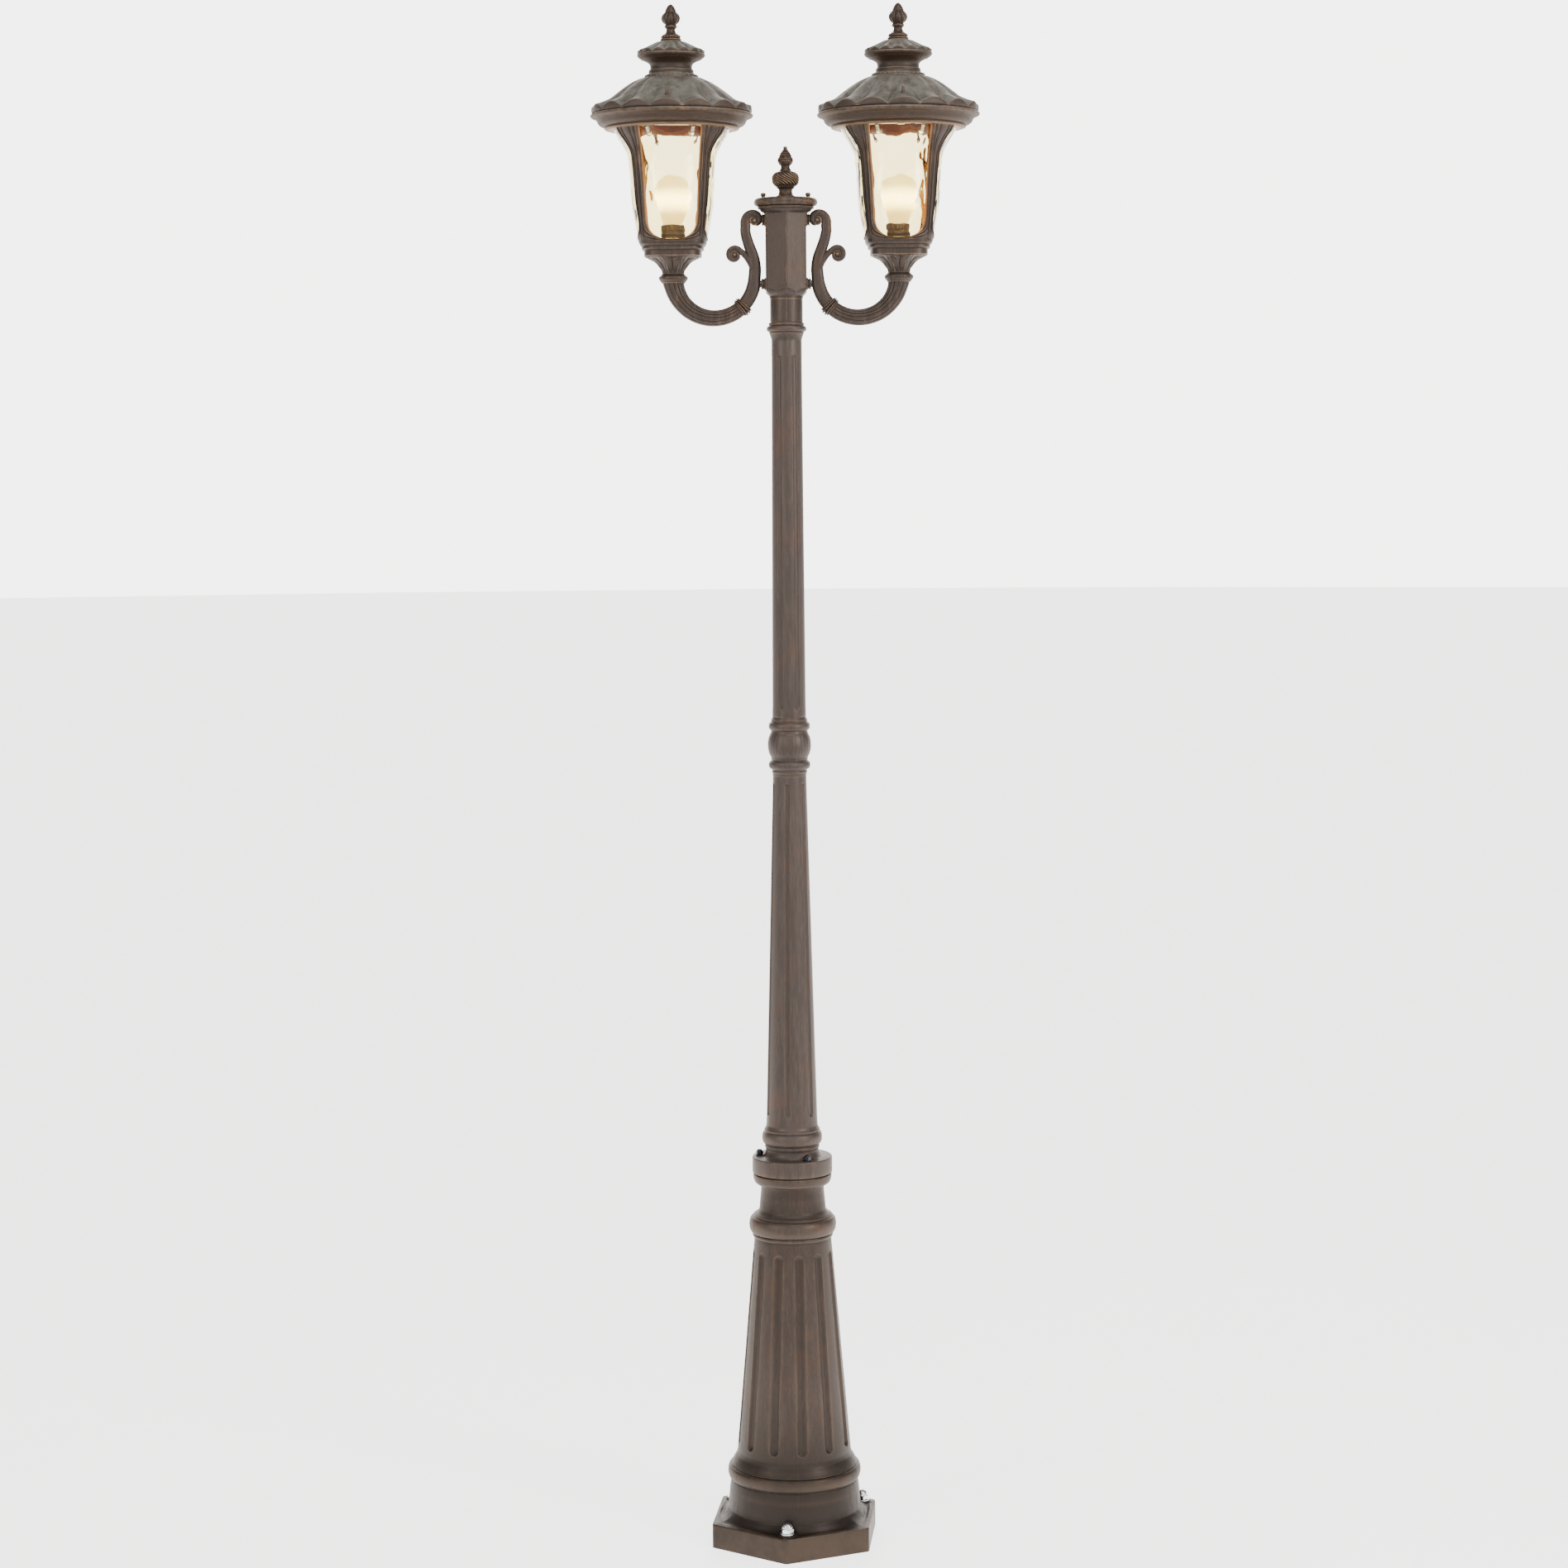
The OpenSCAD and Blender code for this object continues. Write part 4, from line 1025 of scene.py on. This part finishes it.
def cage_bowl():
    """The stepped square bowl under the windows, and its floor."""
    def plan(phi, z):
        return squareness(phi, 1.0) / squareness(0, 1.0)
    steps = soften([(36, 25.9), (44.4, 25.9), (45.2, 26.6), (45.3, 35.4), (46.2, 36.0), (48.4, 36.8),
        (49.0, 37.8), (49.0, 40.4), (48.4, 41.4), (49.6, 42.4), (51.2, 43.6), (52.2, 45.4),
        (52.6, 48.0), (52.2, 50.5), (48, 50.5), (45, 42), (41, 32), (36, 30), (36, 25.9)], 0.5)
    floor = [(6.6, 27), (38, 27), (38, 31), (6.6, 31), (6.6, 27)]
    return [turned(dense(steps, 1.6), 256, plan=plan), turned(floor, 96)]


def cage_squareness(phi, z):
    """The cage is square at its foot and round from 110 mm up."""
    return squareness(phi, part((110 - z) / 45))


def window_edge(z):
    """Half angle of the window at height z, above its rounded foot."""
    r = line_at(CAGE_LINE, z) * cage_squareness(0.6, z)
    flare = part((z - 192) / 30) ** 1.5
    half = np.interp(z, [50, 90, 140, 200, 224], [41.0, 43.5, 46.0, 50.0, 53.5])
    return asin(min(half / r, 0.98)) - 0.02 * flare


def window_side(along):
    """Window edge and post corner, (phi, z) each, from the sill's middle round and up to the roof."""
    sill_z, bend_top_z, head_z, turn_part = 51.5, 92.0, 224.0, 0.45
    rows = []
    for t in np.linspace(0, 1, along):
        if t < turn_part:
            k = t / turn_part
            q = k * pi / 2
            z = bend_top_z - (bend_top_z - sill_z) * cos(q) ** 0.62
            rows.append((window_edge(z) * sin(q) ** 0.8, z, pi / 4 * min(1.0, k * 1.3), 47.5
                + max(0.0, k - 0.75) / 0.25 * 22.5))
        else:
            k = (t - turn_part) / (1 - turn_part)
            z = bend_top_z + (head_z - bend_top_z) * k
            rows.append((window_edge(z), z, pi / 4, 70 + (head_z - 70) * k))
    return np.array(rows).T[:, :, None]


def cage_posts():
    """Eight like halves: each runs from the middle of a window out to a corner post."""
    along, wide = 96, 25
    in_phi, in_z, out_phi, out_z = window_side(along)
    b = np.linspace(0, 1, wide)[None, :]
    phi = in_phi * (1 - b) + out_phi * b
    z = in_z * (1 - b) + out_z * b
    r = line_at(CAGE_LINE, z) * cage_squareness(phi, z)
    # rim roll, hollow, two reeds and the groove on the corner
    profile = np.interp(b, [0, 0.05, 0.13, 0.2, 0.25, 0.36, 0.47, 0.55, 0.6, 0.72, 0.84, 0.93, 1],
        [-1.8, 0.2, 0.9, 0.2, -1.3, -0.1, 0.3, -0.4, -1.4, -0.1, 0.4, 0.3, 0.5])
    r = r + profile * part(1.15 - 0.15 * part((110 - z) / 45)) * 1.25
    inner = r - 7.5 - profile * 1.1
    n = along * wide
    faces = sheet_pair(along, wide)
    for i in range(along - 1):                    # the window's own edge
        faces.append([i * wide, (i + 1) * wide, n + (i + 1) * wide, n + i * wide])
    for top in range(n - wide, n - 1):            # top end, under the ring
        faces.append([top, top + 1, n + top + 1, n + top])
    ways = [quarter * pi / 2 + flip * phi for quarter in range(4) for flip in (-1, 1)]
    return [(np.vstack([ring_points(p, r, z), ring_points(p, inner, z)]), faces) for p in ways]


def lantern_cage(name):
    cage = lantern_piece("cage_casting", name, *joined(cage_bowl() + cage_posts()), "arm",
        "lantern_cage", spread=8, stands_in=False)
    mark_lamplit_inside(cage, lambda phi, z: line_at(CAGE_LINE, z) * cage_squareness(phi, z) - 4.8)
    ring = turned(soften([(88, 223), (101.4, 223), (102, 223.6), (102, 227.4), (101.4, 228), (88, 228),
        (88, 223)], 0.5), 160)
    cage_ring = lantern_piece("cage_ring", name, ring[0], ring[1], "arm", "lantern_cage")
    mark_lamplit_inside(cage_ring, lambda phi, z: 90.0 + 0 * z)


def glass_panels(name):
    rows, cols = 120, 90
    half = radians(43)
    z = np.linspace(52, 222.8, rows)[:, None]
    u = np.linspace(-1, 1, cols)[None, :]
    parts = []
    for k in range(4):
        phi = k * pi / 2 + u * half
        r = line_at(GLASS_LINE, z) + 0 * u
        ripple = np.zeros((rows, cols))
        for i in range(rows):
            for j in range(cols):
                spot = Vector((u[0, j] * 2.3 + 17 * k + 5 * SIDES[name], z[i, 0] / 32.0, 3.1 * k))
                ripple[i, j] = noise.noise(spot) + 0.3 * noise.noise(spot * 2.1)
        fade = part((1 - np.abs(u)) * 8)
        outer = r - 0.15 - 0.5 * (ripple + 1) * fade
        inner = r - 3.2 - 1.7 * (ripple + 0.1) * fade
        sheets = [ring_points(phi, sheet, z + 0 * u) for sheet in (outer, inner)]
        n = rows * cols
        border = [*range(cols), *range(2 * cols - 1, n, cols), *range(n - 2, n - cols - 1, -1),
            *range(n - 2 * cols, 0, -cols)]
        faces = sheet_pair(rows, cols)
        faces += [[p, q, q + n, p + n] for p, q in zip(border, border[1:] + border[:1])]
        parts.append((np.vstack(sheets), faces))
    lantern_piece("water_glass", name, *joined(parts), "glass", "glass_panels", angle=60)


def glass_clips(name):
    parts = []
    for quarter in range(4):
        for off in (-24, 24):
            phi = quarter * pi / 2 + radians(off)
            sections = []
            line = soften([(91, 222.4), (87.6, 221.8), (86.0, 219.0), (83.0, 213.2), (80.6, 212.2)], 1)
            for i, (r, z) in enumerate(line):
                half = 2.6 if i < len(line) - 3 else 3.2
                sections.append(np.array([(-half, -r, z), (half, -r, z), (half, -r + 0.9, z + 0.5),
                    (-half, -r + 0.9, z + 0.5)]))
            v, f = swept(sections)
            parts.append((rotated(v, phi), f))
            knob = turned(soften([(0, 0), (4.6, 0), (4.6, 1.4), (2.4, 2.4), (0, 2.6)], 0.5), 24)
            kv = np.stack([knob[0][:, 0], -80.2 + knob[0][:, 2], knob[0][:, 1] + 212.5], 1)
            parts.append((rotated(kv, phi), knob[1]))
    lantern_piece("panel_clips", name, *joined(parts), "bright", "glass_clips")


lamp_z = 45.5  # height of the lamp's foot in the lantern


def lampholder(name):
    socket_z = 40.0
    section = soften([(6.6, socket_z), (13, socket_z), (16.5, socket_z + 2), (18, socket_z + 5),
        (18.4, 49), (19, 50.5), (19, 54), (18.2, 55), (18.2, 58), (19, 59), (19, 62), (18.2, 63),
        (18.2, 66), (19, 67), (19, 73.5), (18.4, 75.4), (17, 76), (16.6, 75), (16.6, 70), (13.1, 70),
        (13.1, 45), (6.6, 45), (6.6, socket_z)], 0.5)

    def grips(phi, r, z, rows):
        grip = (z > 66) * (z < 74) * (r > 18.5)
        return grip * 0.35 * np.cos(phi * 24)
    lantern_piece("lampholder", name, *turned(dense(section, 2.5), 144, relief=grips), "brown",
        "lamp_socket")


def lamp_cap(name):
    thread = [(12.4 + 0.55 * cos((z - 5) * TAU / 3.6), z) for z in np.arange(5, 25, 0.6)]
    cap = [(0, 0), (5, 0), (5.4, 1.0), (8, 2.2), (12, 4.4)] + thread + [(12.9, 25), (11.6, 25),
        (11.6, 7), (0, 7)]
    lantern_piece("lamp_cap", name, *turned(cap, 72, base=lamp_z), "bright", "bulb_cap")


def lamp_bulb(name):
    ball_r, ball_z, neck_r, low = 30.0, 78.0, 14.0, radians(25)
    swell_r, swell_z = ball_r * cos(low), ball_z - ball_r * sin(low)
    swell = [(neck_r + (swell_r - neck_r) * (1 - cos(pi * t)) / 2, 25 + (swell_z - 25) * t)
        for t in np.linspace(0, 0.94, 14)]
    dome = [(ball_r * cos(q), ball_z + ball_r * sin(q)) for q in np.radians(np.linspace(-25, 89.9, 22))]
    outer = [(12.6, 24), (13.4, 24.4)] + swell + dome
    inner = [(max(r - 1.2, 0.02), z if z < 60 else ball_z + (z - ball_z) * 0.96) for r, z in outer]
    lantern_piece("lamp_bulb", name, *turned(outer + inner[::-1], 96, base=lamp_z, hollow=True), "bulb",
        "bulb_glass", angle=70)


def petal_drop(phi, count, depth, r, edge_r, edge_follow, power, turn):
    """Fall of a petalled dome below its crowns: nothing mid petal, depth in the valleys."""
    t = np.abs(wrapped(phi, count, turn))
    reach = part(r / edge_r)
    valley = reach ** 2.2 * t ** (power + 2.0 * (1 - reach)) * depth
    rib = 0.7 * hump(1 - t, 0.07) * np.minimum(reach * 2, 1)
    return edge_follow * (rib - valley)


def petal_share(rows, low, wall_shares, high):
    """How far each row of a section follows the petals: not below low, fully up to high."""
    share = np.zeros((rows, 1))
    share[low:low + len(wall_shares), 0] = wall_shares
    share[low + len(wall_shares):high] = 1.0
    return share


def roof_dome(name):
    rim_r = 124.0
    low = soften([(102.4, 224), (105.2, 224), (106.2, 225.2), (105.6, 226.8), (105.8, 227.8),
        (109.0, 228.4), (112.6, 229.8), (115.4, 232.2), (116.9, 235.0), (118.0, 237.6), (120.2, 240.0),
        (123.6, 241.3), (126.7, 242.6), (127.8, 244.2), (127.8, 245.8), (126.8, 247), (124.9, 247.6),
        (124.5, 248.4)], 0.4)
    wall = [(125.5, 249.4), (126.1, 252), (126.2, 255.4), (125.9, 258.4)]
    edge = [(125.5, 259.8), (124.6, 260.8), (123.2, 261.3)]
    top = smooth_line([(121, 261.8), (116, 263.4), (108.6, 266.2), (99.4, 270.6), (89.6, 278),
        (80, 285.2), (68.6, 293), (60, 297.8), (51.6, 301.4), (46.4, 303)], 6)
    outer = low + wall + edge + top + [(43.8, 303.2), (43.4, 301), (3.1, 301)]
    inner = [(102.4, 224), (102.4, 228.3), (94, 228.3), (94, 233), (110, 238), (119, 245), (119, 249),
        (108, 254.5), (96, 262), (78, 277), (66, 286), (50, 294), (3.1, 294)]
    between = [(103.5, 224), (103.5, 230), (114, 238), (120.3, 245), (120.3, 249.5), (112, 254.5),
        (100, 262), (82, 277), (70, 286), (56, 294), (0, 294.6)]
    section = outer + inner[::-1]
    place = petal_share(len(section), len(low), (0.06, 0.34, 0.66, 0.9), len(outer) - 3)

    def petals(phi, r, z, rows):
        drop = petal_drop(phi, 16, 9.6, r, rim_r, place, 2.0, radians(2))
        t = np.abs(wrapped(phi, 16, radians(2)))
        lip = 0.7 * place * hump(t - 0.9, 0.05) * (z > 261) * part(r / rim_r)
        return 0.06 * drop * (place > 0), drop + lip
    dome = lantern_piece("roof_casting", name, *turned(section, 640, relief=petals, hollow=True),
        "roof", "roof_dome", spread=10)
    mark_lamplit_inside(dome, lambda phi, z: line_at(between, z))


def roof_crown(name):
    base = 301.0
    low = soften([(3.1, 0), (42.2, 0), (43.6, 1.6), (43.2, 3.0), (42.0, 4.0), (42.2, 5.0), (41.4, 6.4),
        (39.6, 7.4), (37.2, 7.8), (36.0, 9.0), (35.4, 10.6), (35.2, 13.2), (35.3, 14.0), (34.4, 15.0),
        (33.3, 15.6), (32.9, 17.4), (32.8, 20), (33.4, 22.6), (34.6, 24.6), (37, 26.6), (40.4, 28.4),
        (43.7, 30), (47.4, 31.2), (48.6, 32.4), (50.8, 33.8), (52.6, 35.4), (53.4, 37.0), (53.5, 38.4),
        (52.7, 39.4), (52.0, 39.8)], 0.4)
    wall = [(52.6, 40.6), (52.9, 42.4), (52.6, 44.0)]
    edge = [(52.1, 45.0), (51.2, 45.7), (50.0, 46.1)]
    top = smooth_line([(47, 47.1), (42, 49.0), (36, 51.8), (29, 55.2), (24.4, 57.4), (21.6, 58.4)], 5)
    collar = soften([(19.4, 58.2), (17.8, 58.6), (17.0, 60), (3.1, 60), (3.1, 55)], 0.4)
    inner = [(24, 52), (33, 46.5), (43, 43.5), (48, 40), (46, 35.5), (34, 28.5), (29.5, 22), (29.5, 14),
        (34, 8), (38, 3), (3.1, 3), (3.1, 0)]
    section = low + wall + edge + top + collar + inner
    place = petal_share(len(section), len(low), (0.1, 0.5, 0.85), len(low + wall + edge + top))

    def petals(phi, r, z, rows):
        drop = petal_drop(phi, 16, 4.2, r, 51.0, place, 1.8, radians(-2))
        ruffle = 0.9 * (np.abs(np.cos(phi * 16)) - 0.6) * hump(z - 5.4, 2.0, 4) * (r > 38)
        return ruffle + 0.1 * drop, drop
    lantern_piece("crown_casting", name, *turned(section, 576, relief=petals, base=base), "roof",
        "roof_crown", spread=8)


def roof_screws(name):
    parts = []
    for k in range(3):
        phi = radians(2 + 120 * k)
        body = turned(soften([(0, 232), (2, 232), (2, 265.4), (3.6, 265.8), (3.6, 266.8), (2.1, 267.2),
            (2.2, 271), (1.9, 272), (2.2, 273), (2.1, 276.0), (1.4, 277.6), (0, 277.8)], 0.3), 32)
        parts.append((rotated(moved(body[0], 0, -106), phi), body[1]))
    lantern_piece("roof_screw_set", name, *joined(parts), "cast", "roof_screws")


def roof_finial(name):
    base = 361.3
    foot = soften([(3.1, 0.7), (16.2, 0.7), (16.9, 1.6), (16.2, 2.6), (14.0, 3.4), (14.6, 4.4),
        (15.4, 5.6), (14.9, 7.2), (13.6, 8.4), (11.4, 9.6), (9.3, 11), (7.8, 13), (6.9, 15),
        (6.8, 16.6), (7.4, 18.2), (8.6, 19.6), (9.7, 20.6), (9.9, 21.8), (9.2, 23.2), (8.4, 24.4)], 0.5)
    bud = smooth_line([(8.8, 25), (11.2, 27.4), (13.2, 30.6), (14.1, 34), (13.6, 37.4), (11.8, 40.6),
        (9.4, 43.2), (8.5, 44.6), (7.6, 47.2), (6.2, 50.4), (4.2, 53.6), (2.2, 55.6), (0.02, 56.6)], 5)
    section = dense(foot + bud, 0.9) + [(0.02, 36), (3.1, 36), (3.1, 0.7)]

    def lobes(phi, r, z, rows):
        keep = rows < 0.95
        on = part((z - 25) / 3) * part((47 - z) / 5) * keep
        lobe = np.abs(np.cos(phi * 4)) ** 0.7
        drop = on * (2.1 * lobe - 1.5) * np.minimum(r / 11, 1)
        tip = part((z - 44) / 2) * keep * 0.5 * np.abs(np.cos(phi * 4 + 0.8)) ** 0.5
        beads = 0.45 * np.cos(phi * 20) * hump(z - 5.4, 1.4) * (r > 12) * keep
        return drop + tip * np.minimum(r / 8, 1) + beads
    lantern_piece("finial_casting", name, *turned(section, 240, relief=lobes, base=base), "gilt",
        "roof_finial", spread=8)


# ---------- studio ----------

def backdrop():
    floor = bpy.data.meshes.new("studio_floor")
    reach, n = 40.0, 48
    ring = [(reach * cos(k * TAU / n), reach * sin(k * TAU / n), 0.0) for k in range(n)]
    floor.from_pydata(ring, [], [list(range(n))])
    floor.materials.append(studio_floor("studio_floor_paint"))
    obj = bpy.data.objects.new("studio_floor", floor)
    bpy.context.scene.collection.objects.link(obj)


def sky():
    """Bright behind the lamp post and dimmer in front of it, as before a lit white wall."""
    world = bpy.data.worlds.new("studio")
    bpy.context.scene.world = world
    world.use_nodes = True
    tree = world.node_tree
    way = tree.nodes.new("ShaderNodeTexCoord")
    split = tree.nodes.new("ShaderNodeSeparateXYZ")
    total = tree.nodes.new("ShaderNodeMath")
    tree.links.new(way.outputs["Generated"], split.inputs[0])
    for k, ends in enumerate(((0.62, 0.93, 0.3, 5.2), (-0.3, -0.95, 0.0, 1.35))):
        tree.links.new(smooth_range(tree, split.outputs["Y"], *ends), total.inputs[k])
    back = tree.nodes["Background"]
    back.inputs["Color"].default_value = (1.0, 0.995, 0.985, 1)
    tree.links.new(total.outputs[0], back.inputs["Strength"])


def softboxes():
    for name, place, size, power in (
            ("softbox_left", (-2.6, -2.3, 2.4), (0.8, 2.0), 44),
            ("softbox_right", (2.7, -2.2, 2.4), (0.8, 2.0), 88),
            ("softbox_top", (0.4, -1.6, 4.6), (1.6, 1.0), 38)):
        light = bpy.data.lights.new(name, "AREA")
        light.shape = "RECTANGLE"
        light.size, light.size_y = size
        light.energy = power
        lamp_obj = bpy.data.objects.new(name, light)
        lamp_obj.location = place
        aim = Vector((0, 0, 1.3)) - Vector(place)
        lamp_obj.rotation_euler = aim.to_track_quat("-Z", "Y").to_euler()
        bpy.context.scene.collection.objects.link(lamp_obj)


def camera():
    data = bpy.data.cameras.new("camera")
    data.lens = 75.65
    data.sensor_width = 36
    obj = bpy.data.objects.new("camera", data)
    obj.location = (-0.0091, -5.252, 1.752)
    pitch, roll = radians(90 - 5.61), radians(-0.41)
    look = Euler((pitch, 0, 0)).to_matrix() @ Euler((0, 0, roll)).to_matrix()
    obj.rotation_euler = look.to_euler()
    bpy.context.scene.collection.objects.link(obj)
    bpy.context.scene.camera = obj


# ---------- build ----------

camera()
backdrop()
sky()
softboxes()
dress_frame()
for make in (pedestal, acorn_nuts, flange_bolt_set, lower_shaft, shaft_collar, upper_shaft, head_sleeve,
        arm_hub, hub_cap, hub_finial):
    make()
for side_name in SIDES:
    for make in (arm_scroll, arm_band, arm_bend, arm_bosses, lantern_cup, lantern_cage, glass_panels,
            glass_clips, lampholder, lamp_cap, lamp_bulb, roof_dome, roof_crown, roof_screws,
            roof_finial):
        make(side_name)
